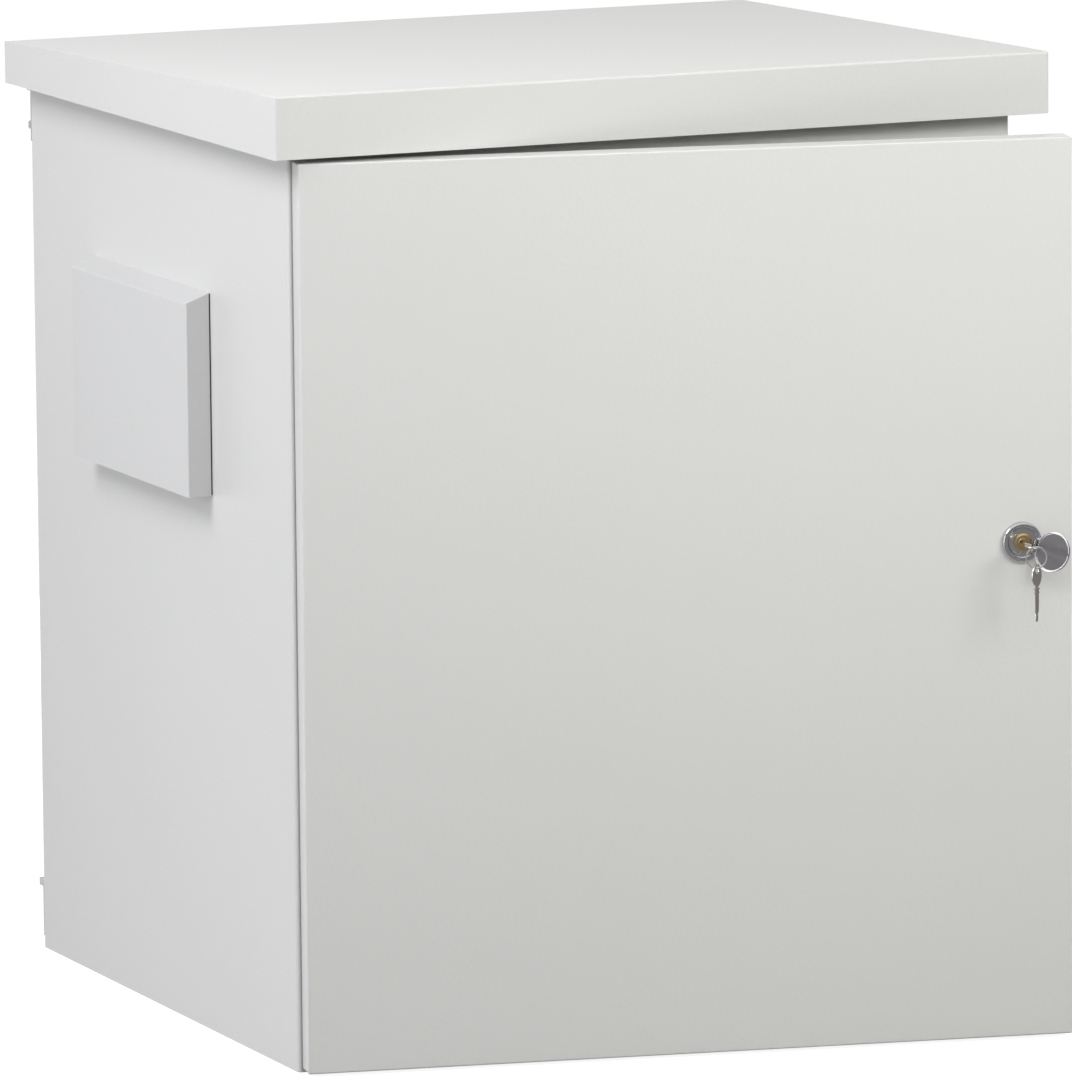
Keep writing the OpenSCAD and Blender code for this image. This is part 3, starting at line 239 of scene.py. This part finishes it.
def paintMaterial(name, color, look):
    material, tree, shader = newMaterial(name)
    peel = surfaceGrain(tree, look)
    rough = put(tree, "ShaderNodeMapRange",
                {"Value": peel["Height"], "From Min": look["grainLow"], "From Max": look["grainHigh"],
                 "To Min": look["rough"] - look["spread"], "To Max": look["rough"] + look["spread"]})
    tree.links.new(driftedColor(tree, color, look), shader.inputs["Base Color"])
    tree.links.new(rough.outputs[0], shader.inputs["Roughness"])
    tree.links.new(peel["Normal"], shader.inputs["Normal"])
    return material


# zinc plate: soft spangle in cool grey
zincLook = {"color": (0.40, 0.405, 0.415, 1), "drift": 0.06, "driftScale": 30.0, "spangle": 0.1,
            "spangleScale": 160.0, "rough": 0.33, "spread": 0.12, "streakScale": 90.0}


def zincMaterial(look):
    material, tree, shader = newMaterial("zincPlate")
    cells = put(tree, "ShaderNodeTexVoronoi",
                {"Vector": objectCoordinates(tree), "Scale": look["spangleScale"]})
    shade = put(tree, "ShaderNodeMapRange",
                {"Value": cells.outputs["Color"],
                 "To Min": 1 - look["spangle"], "To Max": 1 + look["spangle"]})
    color = timesColor(tree, driftedColor(tree, look["color"], look), shade.outputs[0])
    tree.links.new(color, shader.inputs["Base Color"])
    tree.links.new(rubbedRoughness(tree, look), shader.inputs["Roughness"])
    shader.inputs["Metallic"].default_value = 1.0
    return material


# bright metals: chrome, nickel and brass, a paler nickel for the ring, and a dark metal inside the cover's lip
# whose tone is a painted reflection
metalDrift = {"drift": 0.08, "driftScale": 250.0}
metalLooks = {
    "lock_chrome": {"color": (0.62, 0.62, 0.63, 1), "rough": 0.08, "spread": 0.06, "streakScale": 700.0},
    "key_nickel": {"color": (0.60, 0.57, 0.53, 1), "rough": 0.16, "spread": 0.1, "streakScale": 600.0},
    "lock_brass": {"color": (0.68, 0.505, 0.27, 1), "rough": 0.33, "spread": 0.14, "streakScale": 800.0},
}
ringMetalLook = {"color": (0.95, 0.93, 0.89, 1), "rough": 0.24, "spread": 0.1, "streakScale": 600.0}
# dark metal for the cover's inner face: its dark tone is a painted reflection of dark surroundings
darkReflectionLook = {"color": (0.135, 0.128, 0.131, 1), "rough": 0.38, "spread": 0.12, "streakScale": 500.0}


def metalMaterial(name, look):
    material, tree, shader = newMaterial(name)
    tree.links.new(driftedColor(tree, look["color"], metalDrift), shader.inputs["Base Color"])
    tree.links.new(rubbedRoughness(tree, look), shader.inputs["Roughness"])
    shader.inputs["Metallic"].default_value = 1.0
    return material


# soft dark and pale stuffs: rubber, foam and fleece
softDrift = {"drift": 0.15, "driftScale": 120.0}
softLooks = {
    "grommet_rubber": {"color": (0.03, 0.03, 0.03, 1), "rough": 0.6,
                       "grainScale": 500.0, "grainDepth": 0.0001, "grainStrength": 0.3},
    "gasket_foam": {"color": (0.045, 0.045, 0.045, 1), "rough": 0.9,
                    "grainScale": 900.0, "grainDepth": 0.0004, "grainStrength": 0.7},
    "filter_fleece": {"color": (0.80, 0.80, 0.78, 1), "rough": 0.95,
                      "grainScale": 650.0, "grainDepth": 0.0008, "grainStrength": 0.8},
}


def softMaterial(name, look):
    material, tree, shader = newMaterial(name)
    tree.links.new(driftedColor(tree, look["color"], softDrift), shader.inputs["Base Color"])
    tree.links.new(surfaceGrain(tree, look)["Normal"], shader.inputs["Normal"])
    shader.inputs["Roughness"].default_value = look["rough"]
    return material


finishes = {"powder_coat": paintMaterial("powderCoat", paintLook["color"], paintLook),
            "zinc_plate": zincMaterial(zincLook)}
finishes.update({name: metalMaterial(name, look) for name, look in metalLooks.items()})
finishes.update({name: softMaterial(name, look) for name, look in softLooks.items()})
ringNickel = metalMaterial("ringNickel", ringMetalLook)
coverDarkReflection = metalMaterial("coverDarkReflection", darkReflectionLook)
# darker copy of the powder coat for the hoods: painted shade, so they read less lit than the wall
hoodPaintShaded = paintMaterial("hoodPaintShaded", paintLook["hoodShadedColor"], paintLook)
print("materials made:", len(finishes))


# soft shading for the folded and turned pieces: joins equal points and keeps edges over an angle sharp
softShadeLook = {"join": 2e-6, "sharp": math.radians(24)}


def makeSoftShade(look):
    tree = bpy.data.node_groups.new("softShade", "GeometryNodeTree")
    tree.interface.new_socket("Geometry", in_out="INPUT", socket_type="NodeSocketGeometry")
    tree.interface.new_socket("Geometry", in_out="OUTPUT", socket_type="NodeSocketGeometry")
    given = tree.nodes.new("NodeGroupInput").outputs[0]
    result = tree.nodes.new("NodeGroupOutput").inputs[0]
    merged = put(tree, "GeometryNodeMergeByDistance", {"Geometry": given, "Distance": look["join"]})
    angle = put(tree, "GeometryNodeInputMeshEdgeAngle")
    gentle = put(tree, "FunctionNodeCompare", {0: angle.outputs["Unsigned Angle"], 1: look["sharp"]},
                 operation="LESS_THAN")
    faces = put(tree, "GeometryNodeSetShadeSmooth", {"Geometry": merged.outputs[0]}, domain="FACE")
    edges = put(tree, "GeometryNodeSetShadeSmooth",
                {"Geometry": faces.outputs[0], "Shade Smooth": gentle.outputs[0]}, domain="EDGE")
    tree.links.new(edges.outputs[0], result)
    return tree


softShade = makeSoftShade(softShadeLook)


def softenShade(part):
    part.modifiers.new("softShade", "NODES").node_group = softShade
    weigh = part.modifiers.new("weighNormals", "WEIGHTED_NORMAL")
    weigh.mode = "FACE_AREA"
    weigh.keep_sharp = True


def dressNode(name):
    part = nodes[name]
    part.data.materials.clear()
    part.data.materials.append(hoodPaintShaded if name.endswith("vent_hood") else finishes[slotOf[name]])
    softenShade(part)


for name in nodes:
    dressNode(name)
print("frame dressed")


# lowest and highest corner of a node in the axes of the door, from the lock's centre
def doorBox(name):
    mesh = nodes[name].data
    points = np.empty(len(mesh.vertices) * 3)
    mesh.vertices.foreach_get("co", points)
    local = (points.reshape(-1, 3) - lockAt) @ doorAxes.T
    return local.min(axis=0), local.max(axis=0)


def fromDoor(local):
    return lockAt + local @ doorAxes


# equal steps of angle round a full turn, without its end
def turnSteps(count):
    return np.linspace(0.0, 2 * math.pi, count, endpoint=False)


# three coordinates brought to one shape and joined into points
def joinPoints(x, y, z):
    return np.stack(np.broadcast_arrays(x, y, z), axis=-1)


# skin over rings of equal length: each point joins its neighbour on the ring and its twin on the next
# ring, the last ring joins the first or both ends get a flat cap, and the faces turn so that the volume
# is positive
def skin(rings, joined=False):
    count, around = rings.shape[:2]
    index = np.arange(count * around).reshape(count, around)
    near = index if joined else index[:-1]
    far = np.roll(index, -1, axis=0) if joined else index[1:]
    corners = [near, np.roll(near, -1, axis=1), np.roll(far, -1, axis=1), far]
    quads = np.stack(corners, axis=-1).reshape(-1, 4)
    points = rings.reshape(-1, 3)
    middle = points.mean(axis=0)
    first, second, third, fourth = (points[quads[:, i]] - middle for i in range(4))
    volume = np.sum(np.cross(first, second) * third) + np.sum(np.cross(first, third) * fourth)
    faces = quads.tolist()
    if not joined:
        faces += [index[0, ::-1].tolist(), index[-1].tolist()]
    if volume < 0:
        faces = [face[::-1] for face in faces]
    return points, faces


# one piece of one or more closed skins, riding on a body and mostly in place of a node
def addPiece(name, skins, body, slotName, stands=None, finish=None):
    starts = np.cumsum([0] + [len(points) for points, _ in skins])
    points = np.concatenate([points for points, _ in skins])
    faces = [[corner + int(start) for corner in face]
             for start, (_, part) in zip(starts, skins) for face in part]
    mesh = bpy.data.meshes.new(name)
    mesh.from_pydata(points.tolist(), [], faces)
    mesh.materials.append(finish or finishes[slotName])
    piece = bpy.data.objects.new(name, mesh)
    scene.collection.objects.link(piece)
    softenShade(piece)
    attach(piece, body)
    if stands:
        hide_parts(stands)
    return piece


# rounded rectangle as a closed loop: four quarter arcs about centres set in by the radius
def roundedBar(halfWidth, halfHeight, radius, steps):
    corner = np.repeat(np.arange(4), steps)
    angle = np.tile(np.linspace(0.0, math.pi / 2, steps), 4) + corner * math.pi / 2
    side = np.array([1, -1, -1, 1])[corner]
    top = np.array([1, 1, -1, -1])[corner]
    width = np.asarray(halfWidth)[..., None]
    height = np.asarray(halfHeight)[..., None]
    x = side * (width - radius) + radius * np.cos(angle)
    y = top * (height - radius) + radius * np.sin(angle)
    return x, y, angle


# door gasket: a foam bead with a flat foot and a domed back, laid round the door in one closed loop
gasketLook = {"beadHalf": 0.004, "cornerRadius": 0.009, "cornerSteps": 14, "domeSteps": 25, "dome": 0.72,
              "fill": 0.9}


def doorGasket(look):
    low, high = doorBox("door_gasket")
    beadHalf = look["beadHalf"]
    middle, reach = (low + high) / 2, (high - low) / 2 - beadHalf
    pathU, pathV, angle = roundedBar(reach[0], reach[1], look["cornerRadius"], look["cornerSteps"])
    t = np.linspace(0.0, math.pi, look["domeSteps"])
    across = beadHalf * np.sign(np.cos(t)) * np.abs(np.cos(t)) ** look["dome"]
    deep = high[2] - (high[2] - low[2]) * np.sin(t) ** look["dome"]
    u = middle[0] + pathU[:, None] + np.cos(angle)[:, None] * across
    v = middle[1] + pathV[:, None] + np.sin(angle)[:, None] * across
    rings = fromDoor(joinPoints(u, v, deep))
    piece = addPiece("doorGasket", [skin(rings, joined=True)], "door", "gasket_foam", "door_gasket")


doorGasket(gasketLook)


# filter mat: a soft slab, loops of one rounded outline drawn in towards both faces,
# with a round rim and slow waves on the faces
matLook = {"cornerRadius": 0.007, "cornerSteps": 12, "rimSteps": 8, "faceSteps": 26, "rim": 0.0042,
           "middleShare": 0.03, "wave": 0.0005, "waveLength": 0.034, "waveRatio": 0.8, "fill": 0.5}


def filterMat(name, node, look):
    low, high = (np.array(corner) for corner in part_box(node))
    middle, half = (low + high) / 2, (high - low) / 2
    rim = look["rim"]
    turn = np.linspace(-math.pi / 2, math.pi / 2, 2 * look["rimSteps"])
    shrink = np.linspace(look["middleShare"], 1.0, look["faceSteps"], endpoint=False)
    inset = np.concatenate([1 - shrink, np.zeros(turn.size), (1 - shrink)[::-1]])
    edge = np.concatenate([np.full(shrink.size, rim), rim * (1 - np.cos(turn)), np.full(shrink.size, rim)])
    lift = np.concatenate([np.full(shrink.size, -1.0), np.sin(turn), np.full(shrink.size, 1.0)])
    loopY, loopZ, _ = roundedBar(half[1] - edge, half[2] - edge, look["cornerRadius"], look["cornerSteps"])
    loopY = loopY * (1 - inset)[:, None]
    loopZ = loopZ * (1 - inset)[:, None]
    step = 2 * math.pi / look["waveLength"]
    wave = look["wave"] * (np.sin(step * loopY) * np.cos(look["waveRatio"] * step * loopZ) - 1.0)
    thick = (half[0] + wave) * lift[:, None]
    rings = joinPoints(middle[0] + thick, middle[1] + loopY, middle[2] + loopZ)
    piece = addPiece(name, [skin(rings)], "cabinet", "filter_fleece", node)


filterMat("leftFilterMat", "left_filter_mat", matLook)
filterMat("rightFilterMat", "right_filter_mat", matLook)
print("gasket and filter mats made")


# hood fold shade: a dark bead, a quarter of an oval in section, that fills the fold between the hood's side
# and the wall; it is painted shade, a dark mark standing in for the shadow in that fold
foldShadeLook = {"wide": 0.0018, "deep": 0.0012, "sink": -0.0002, "steps": 13, "trim": 0.001}


def hoodFoldShades(name, node, look):
    low, high = (np.array(corner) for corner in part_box(node))
    outward = 1.0 if low[0] > 0 else -1.0
    wall = low[0] if outward > 0 else high[0]
    t = np.linspace(0.0, math.pi / 2, look["steps"])
    x = wall + outward * np.concatenate([[0.0], look["wide"] * np.sin(t)])
    z = np.array([low[2] + look["trim"], high[2] - look["trim"]])[:, None]
    skins = []
    for edge, inward in ((low[1], 1.0), (high[1], -1.0)):
        y = edge + inward * (look["sink"] + look["deep"] * np.concatenate([[1.0], 1 - np.cos(t)]))
        skins.append(skin(joinPoints(x, y, z)))
    # black rubber finish, so the bead reads as the painted shade of the fold
    addPiece(name, skins, "cabinet", "grommet_rubber")


hoodFoldShades("leftHoodFoldShade", "left_vent_hood", foldShadeLook)
hoodFoldShades("rightHoodFoldShade", "right_vent_hood", foldShadeLook)


# lock: a rounded bezel on the base, open at the cover's hinge, and the round cover that stands open;
# both are drawn about the lock's axis with x towards the hinge
keyTilt = math.radians(18)
hingeAxes = np.array([[math.cos(keyTilt), -math.sin(keyTilt), 0.0],
                      [math.sin(keyTilt), math.cos(keyTilt), 0.0],
                      [0.0, 0.0, 1.0]])
bezelLook = {"radius": 0.0129, "half": 0.00265, "lift": 0.0001, "foot": 0.0009, "height": 0.0035,
             "full": 2.4, "gap": math.radians(31), "steps": 110, "arcSteps": 30}


# bezel: half of a full oval on two short straight sides, carried round an open circle
def lockBezel(look):
    t = np.linspace(0.0, math.pi, look["arcSteps"])
    across = np.sign(np.cos(t)) * np.abs(np.cos(t)) ** (2 / look["full"])
    rise = look["foot"] + look["height"] * np.sin(t) ** (2 / look["full"])
    radius = look["radius"] + look["half"] * np.concatenate([[1.0], across, [-1.0]])
    height = np.concatenate([[look["lift"]], rise, [look["lift"]]])
    angle = np.linspace(look["gap"], 2 * math.pi - look["gap"], look["steps"])[:, None]
    rings = joinPoints(radius * np.cos(angle), radius * np.sin(angle), height)
    addPiece("lockBezel", [skin(fromDoor(rings @ hingeAxes))], "door", "lock_chrome")


lockBezel(bezelLook)


coverLook = {
    "hinge": 0.0095, "pivot": 0.0044, "open": math.radians(130), "reach": 0.0165, "near": 0.0019,
    "steps": 120, "knuckleRadius": 0.0015, "knuckleHalf": 0.0022, "knuckleSteps": 40, "pinRadius": 0.0009,
    "tongueAt": (-0.0017, 0.0012), "tongueHalf": (0.00105, 0.0003), "tongueEdge": 0.0001, "tongueSteps": 3,
    # from the middle of the outer face round the lip to the middle of the inner face: radius and height
    "profile": [(0.0001, 0.0021), (0.0080, 0.0021), (0.0140, 0.0021), (0.0148, 0.00207), (0.0152, 0.00195),
                (0.01543, 0.0017), (0.0155, 0.0014), (0.0155, 0.0005), (0.01542, 0.00028),
                (0.01522, 0.00014), (0.0150, 0.0001), (0.01478, 0.00014), (0.01458, 0.00028),
                (0.0145, 0.0005), (0.01445, 0.0008), (0.01430, 0.0009), (0.0138, 0.00092),
                (0.0080, 0.00092), (0.0001, 0.00092)],
    "reflectionDisc": [(0.0001, 0.00092), (0.0139, 0.00092), (0.01405, 0.00086), (0.0139, 0.0008), (0.0001, 0.0008)],
}


# a profile turned about the cover's own axis and cut straight beside the hinge
def coverDisc(profile, look):
    radius, height = np.array(profile).T[:, :, None]
    angle = turnSteps(look["steps"])
    x = np.minimum(radius * np.cos(angle) - look["reach"], -look["near"])
    return skin(joinPoints(x, radius * np.sin(angle), height))


# cover: a lipped disc with a tongue and a bored knuckle on the hinge pin, and a dark disc inside the lip whose
# dark tone is a painted reflection
def lockCover(look):
    turn = turnSteps(look["knuckleSteps"])
    bore, wall, half = look["pinRadius"], look["knuckleRadius"], look["knuckleHalf"]
    loop = np.array([(bore, -half), (wall, -half), (wall, half), (bore, half)])
    knuckle = joinPoints(loop[:, :1] * np.cos(turn), loop[:, 1:], loop[:, :1] * np.sin(turn))
    barX, barZ, _ = roundedBar(*look["tongueHalf"], look["tongueEdge"], look["tongueSteps"])
    side = np.array([-half, half])[:, None]
    tongue = joinPoints(barX + look["tongueAt"][0], side, barZ + look["tongueAt"][1])
    cosine, sine = math.cos(look["open"]), math.sin(look["open"])
    swing = np.array([[cosine, 0.0, -sine], [0.0, 1.0, 0.0], [sine, 0.0, cosine]])
    at = np.array([look["hinge"], 0.0, look["pivot"]])
    shut = [coverDisc(look["profile"], look), skin(knuckle, joined=True), skin(tongue),
            coverDisc(look["reflectionDisc"], look)]
    skins = [(fromDoor((at + points @ swing) @ hingeAxes), faces) for points, faces in shut]
    addPiece("lockCover", skins[:3], "cover", "lock_chrome", "lock_cover")
    addPiece("coverDarkReflection", skins[3:], "cover", "lock_chrome", finish=coverDarkReflection)


lockCover(coverLook)
print("lock made")


# keys: flat in x and y with the bow's root at zero and the tip downwards
keyLook = {
    "thick": 0.0016, "bowLength": 0.019, "bowWidth": 0.012, "bowSteps": 72, "edge": 0.00045, "edgeSteps": 5,
    "holeRadius": 0.00275, "holeAt": 0.014, "sectionSteps": 56, "square": 6.0,
    "groove": 0.62, "grooveWidth": 0.0006,
    # blade from the collar to the tip: place, half width, half thickness and groove share
    "blade": [(0.0004, 0.0017, 0.0008, 0), (-0.0001, 0.0027, 0.0011, 0), (-0.0004, 0.0030, 0.0013, 0),
              (-0.0009, 0.0030, 0.0013, 0), (-0.0013, 0.0024, 0.0010, 0), (-0.0019, 0.0022, 0.0009, 0),
              (-0.0025, 0.0022, 0.0009, 0), (-0.0030, 0.0026, 0.0011, 0), (-0.0033, 0.0030, 0.0013, 0),
              (-0.0037, 0.0030, 0.0013, 0), (-0.0040, 0.0025, 0.0009, 0), (-0.0043, 0.0024, 0.0008, 0.4),
              (-0.0050, 0.0024, 0.0008, 1), (-0.0120, 0.0023, 0.0008, 1), (-0.0175, 0.0021, 0.0008, 1),
              (-0.0186, 0.0019, 0.0008, 0.4), (-0.0192, 0.0012, 0.0007, 0), (-0.0200, 0.0010, 0.0006, 0),
              (-0.0208, 0.0012, 0.0007, 0), (-0.0225, 0.0012, 0.0008, 0), (-0.0250, 0.0010, 0.0007, 0),
              (-0.0258, 0.0007, 0.0005, 0), (-0.0260, 0.0003, 0.0003, 0)],
}


# bow: a leaf between two arcs with a round hole, drawn in polar steps about the hole's centre;
# its cross-section is a rounded bar from the hole to the outline
def keyBow(look):
    length, width = look["bowLength"], look["bowWidth"]
    arc = (length ** 2 + width ** 2) / (4 * width)
    turn = turnSteps(look["bowSteps"])
    ray = np.stack([np.cos(turn), np.sin(turn)], axis=-1)
    centres = np.array([[arc - width / 2, length / 2], [width / 2 - arc, length / 2]])
    offset = np.array([0.0, look["holeAt"]]) - centres
    along = ray @ offset.T
    outline = (np.sqrt(along ** 2 - np.sum(offset ** 2, axis=1) + arc ** 2) - along).min(axis=1)
    hole = look["holeRadius"]
    across, height, _ = roundedBar((outline - hole) / 2, look["thick"] / 2, look["edge"], look["edgeSteps"])
    radius = (outline + hole)[:, None] / 2 + across
    rings = joinPoints(radius * ray[:, :1], look["holeAt"] + radius * ray[:, 1:], height)
    return skin(rings, joined=True)


# blade: squared-off ovals set one below the other, with a groove pressed into both faces
def keyBlade(look):
    place, halfX, halfZ, share = np.array(look["blade"]).T[:, :, None]
    turn = turnSteps(look["sectionSteps"])
    across = np.cos(turn)
    bulge = np.sign(np.sin(turn)) * (1 - np.abs(across) ** look["square"]).clip(0) ** (1 / look["square"])
    x = halfX * across
    groove = 1 - look["groove"] * share * np.exp(-(x / look["grooveWidth"]) ** 2)
    return skin(joinPoints(x, place, halfZ * bulge * groove))


# where the two keys sit: origin and axes in the door's own directions
spareTurn = math.radians(41)
keyPlaces = {
    "lockKey": {"node": "lock_key", "body": "lock_core", "at": (0.0, 0.0, 0.0204),
                "x": (math.cos(keyTilt), -math.sin(keyTilt), 0.0), "y": (0.0, 0.0, 1.0)},
    "spareKey": {"node": "spare_key", "body": "spare", "at": (0.00248, -0.030443, 0.0344),
                 "x": (math.cos(spareTurn), 0.0, -math.sin(spareTurn)), "y": (0.0, 1.0, 0.0)},
}


def placeKey(name, place, look):
    axes = np.array([place["x"], place["y"], np.cross(place["x"], place["y"])])
    skins = [(fromDoor(np.array(place["at"]) + points @ axes), faces)
             for points, faces in (keyBow(look), keyBlade(look))]
    addPiece(name, skins, place["body"], "key_nickel", place["node"])


for name, place in keyPlaces.items():
    placeKey(name, place, keyLook)


# split ring: two turns of flattened wire, side by side, that change over just before they meet;
# the wire stops short of two full turns by a little more than one change
ringLook = {"at": (0.00248, -0.007093, 0.0344), "radius": 0.008, "wireWide": 0.00052, "wireDeep": 0.00031,
            "apart": 0.00031, "change": math.radians(35), "short": 1.15, "start": math.radians(200),
            "steps": 260, "round": 14}


def splitRing(look):
    run = np.linspace(0.0, 4 * math.pi - look["change"] * look["short"], look["steps"])
    shift = np.clip((run - 2 * math.pi + look["change"]) / look["change"], 0, 1)
    side = look["apart"] * (2 * shift ** 2 * (3 - 2 * shift) - 1)
    turn = turnSteps(look["round"])
    radius = look["radius"] + look["wireWide"] * np.cos(turn)
    angle = (run + look["start"])[:, None]
    deep = side[:, None] + look["wireDeep"] * np.sin(turn)
    rings = np.array(look["at"]) + joinPoints(radius * np.cos(angle), radius * np.sin(angle), deep)
    addPiece("splitRing", [skin(fromDoor(rings))], "ring", "key_nickel", "key_ring", finish=ringNickel)


splitRing(ringLook)
print("keys and ring made")


# stage: a pale floor, white all round, soft lamps and a grey card for the bright metal
plainWhite = (1, 1, 1, 1)
stageLook = {"floorHalf": 9.0, "floorColor": (0.4, 0.4, 0.4, 1), "floorGlow": 0.9, "shadowShare": 0.4,
             "skyFill": 0.315, "skyColor": (1.0, 1.0, 0.97, 1), "skySeen": 1.0}


# 1 where a ray comes from the camera, a mirror or glass
def seenRay(tree):
    rays = put(tree, "ShaderNodeLightPath").outputs
    mirrored = mathNode(tree, "MAXIMUM", rays["Is Glossy Ray"], rays["Is Transmission Ray"])
    return mathNode(tree, "MAXIMUM", rays["Is Camera Ray"], mirrored)


def makeWorld(look):
    world = bpy.data.worlds.new("studioWorld")
    world.use_nodes = True
    tree = world.node_tree
    tree.nodes.clear()
    fill = put(tree, "ShaderNodeBackground", {"Color": look["skyColor"], "Strength": look["skyFill"]})
    white = put(tree, "ShaderNodeBackground", {"Color": plainWhite, "Strength": look["skySeen"]})
    mixed = put(tree, "ShaderNodeMixShader", {0: seenRay(tree), 1: fill.outputs[0], 2: white.outputs[0]})
    put(tree, "ShaderNodeOutputWorld", {"Surface": mixed.outputs[0]})
    return world


# a material without the usual shader, and the socket that takes its surface
def bareMaterial(name):
    material, tree, shader = newMaterial(name)
    tree.nodes.remove(shader)
    return material, tree, tree.nodes["Material Output"].inputs["Surface"]


def stageSheet(name, points, faces, material):
    mesh = bpy.data.meshes.new(name)
    mesh.from_pydata(points, [], faces)
    mesh.materials.append(material)
    sheet = bpy.data.objects.new(name, mesh)
    scene.collection.objects.link(sheet)
    return sheet


def studioFloor(look):
    material, tree, surface = bareMaterial("studioFloor")
    pale = put(tree, "ShaderNodeBsdfDiffuse", {"Color": look["floorColor"]})
    share = look["shadowShare"]
    shadow = put(tree, "ShaderNodeBsdfDiffuse", {"Color": (share, share, share, 1)})
    glow = put(tree, "ShaderNodeEmission", {"Color": plainWhite, "Strength": look["floorGlow"]})
    seen = put(tree, "ShaderNodeAddShader", {0: shadow.outputs[0], 1: glow.outputs[0]})
    mixed = put(tree, "ShaderNodeMixShader", {0: seenRay(tree), 1: pale.outputs[0], 2: seen.outputs[0]})
    tree.links.new(mixed.outputs[0], surface)
    half = look["floorHalf"]
    corners = [(-half, -half, 0), (half, -half, 0), (half, half, 0), (-half, half, 0)]
    stageSheet("studioFloor", corners, [(0, 1, 2, 3)], material)


scene.world = makeWorld(stageLook)
studioFloor(stageLook)

# grey card: a curved wall round the front and the floor before it, seen only as a reflection
cardLook = {"middle": (0.1, -0.3), "radius": 1.1, "top": 1.1, "from": math.radians(185),
            "to": math.radians(375), "steps": 48, "lift": 0.002, "shade": 0.27}


def greyCard(look):
    angle = np.linspace(look["from"], look["to"], look["steps"])
    wall = joinPoints(look["middle"][0] + look["radius"] * np.cos(angle),
                      look["middle"][1] + look["radius"] * np.sin(angle), look["lift"])
    points = np.concatenate([wall, wall + np.array([0.0, 0.0, look["top"]])])
    low = np.arange(look["steps"] - 1)
    faces = np.stack([low, low + 1, low + 1 + look["steps"], low + look["steps"]], axis=-1).tolist()
    faces.append(list(range(look["steps"])))
    material, tree, surface = bareMaterial("greyCard")
    glow = put(tree, "ShaderNodeEmission", {"Color": plainWhite, "Strength": look["shade"]})
    tree.links.new(glow.outputs[0], surface)
    card = stageSheet("greyCard", points.tolist(), faces, material)
    card.visible_camera = False
    card.visible_diffuse = False
    card.visible_transmission = False
    card.visible_shadow = False


greyCard(cardLook)

# lamps: one that isn't mirrored lights the part without showing in it as a highlight
lamps = [
    {"name": "keyLamp", "at": (1.2, -2.0, 1.5), "aim": (0.1, -0.3, 0.5), "size": (0.9, 0.9),
     "power": 21.0, "color": (1.0, 0.985, 0.955), "mirrored": False},
    {"name": "frontLamp", "at": (-0.1, -1.3, 1.2), "aim": (0.0, -0.3, 0.75), "size": (1.5, 0.3),
     "power": 6.5, "color": (0.98, 1.0, 0.985), "mirrored": False},
    {"name": "doorStrip", "at": (-0.14, -1.07, 0.46), "aim": (0.0, -0.33, 0.42), "size": (0.9, 0.12),
     "power": 0.42, "color": (1.0, 0.99, 0.97), "mirrored": False},
    {"name": "leftLamp", "at": (-1.9, -0.4, 0.6), "aim": (-0.3, -0.05, 0.4), "size": (1.0, 1.0),
     "power": 7.1, "color": (0.94, 0.95, 1.0), "mirrored": True},
    {"name": "leftHighLamp", "at": (-1.5, -0.22, 1.8), "aim": (-0.3, -0.05, 0.5), "size": (0.9, 0.9),
     "power": 19.4, "color": (0.955, 0.95, 1.0), "mirrored": True},
    {"name": "topLamp", "at": (0.0, -0.3, 1.9), "aim": (0.0, -0.25, 0.7), "size": (1.2, 0.15),
     "power": 0.8, "color": (1.0, 1.0, 1.0), "mirrored": True},
    {"name": "backLamp", "at": (0.7, 1.7, 0.3), "aim": (0.0, 0.27, 0.35), "size": (1.0, 0.4),
     "power": 9.0, "color": (0.98, 0.98, 1.0), "mirrored": False},
]


def hangLamp(lamp):
    data = bpy.data.lights.new(lamp["name"], "AREA")
    data.shape = "RECTANGLE"
    data.size, data.size_y = lamp["size"]
    data.energy = lamp["power"]
    data.color = lamp["color"]
    made = bpy.data.objects.new(lamp["name"], data)
    made.visible_glossy = lamp["mirrored"]
    scene.collection.objects.link(made)
    at, aim = np.array(lamp["at"]), np.array(lamp["aim"])
    back = (at - aim) / np.linalg.norm(at - aim)
    right = np.cross([0.0, 0.0, 1.0], back)
    right /= np.linalg.norm(right)
    pose = np.eye(4)
    pose[:3, :3] = np.array([right, np.cross(back, right), back]).T
    pose[:3, 3] = at
    made.matrix_world = Matrix(pose.tolist())


for lamp in lamps:
    hangLamp(lamp)
print("stage lit with", len(lamps), "lamps")
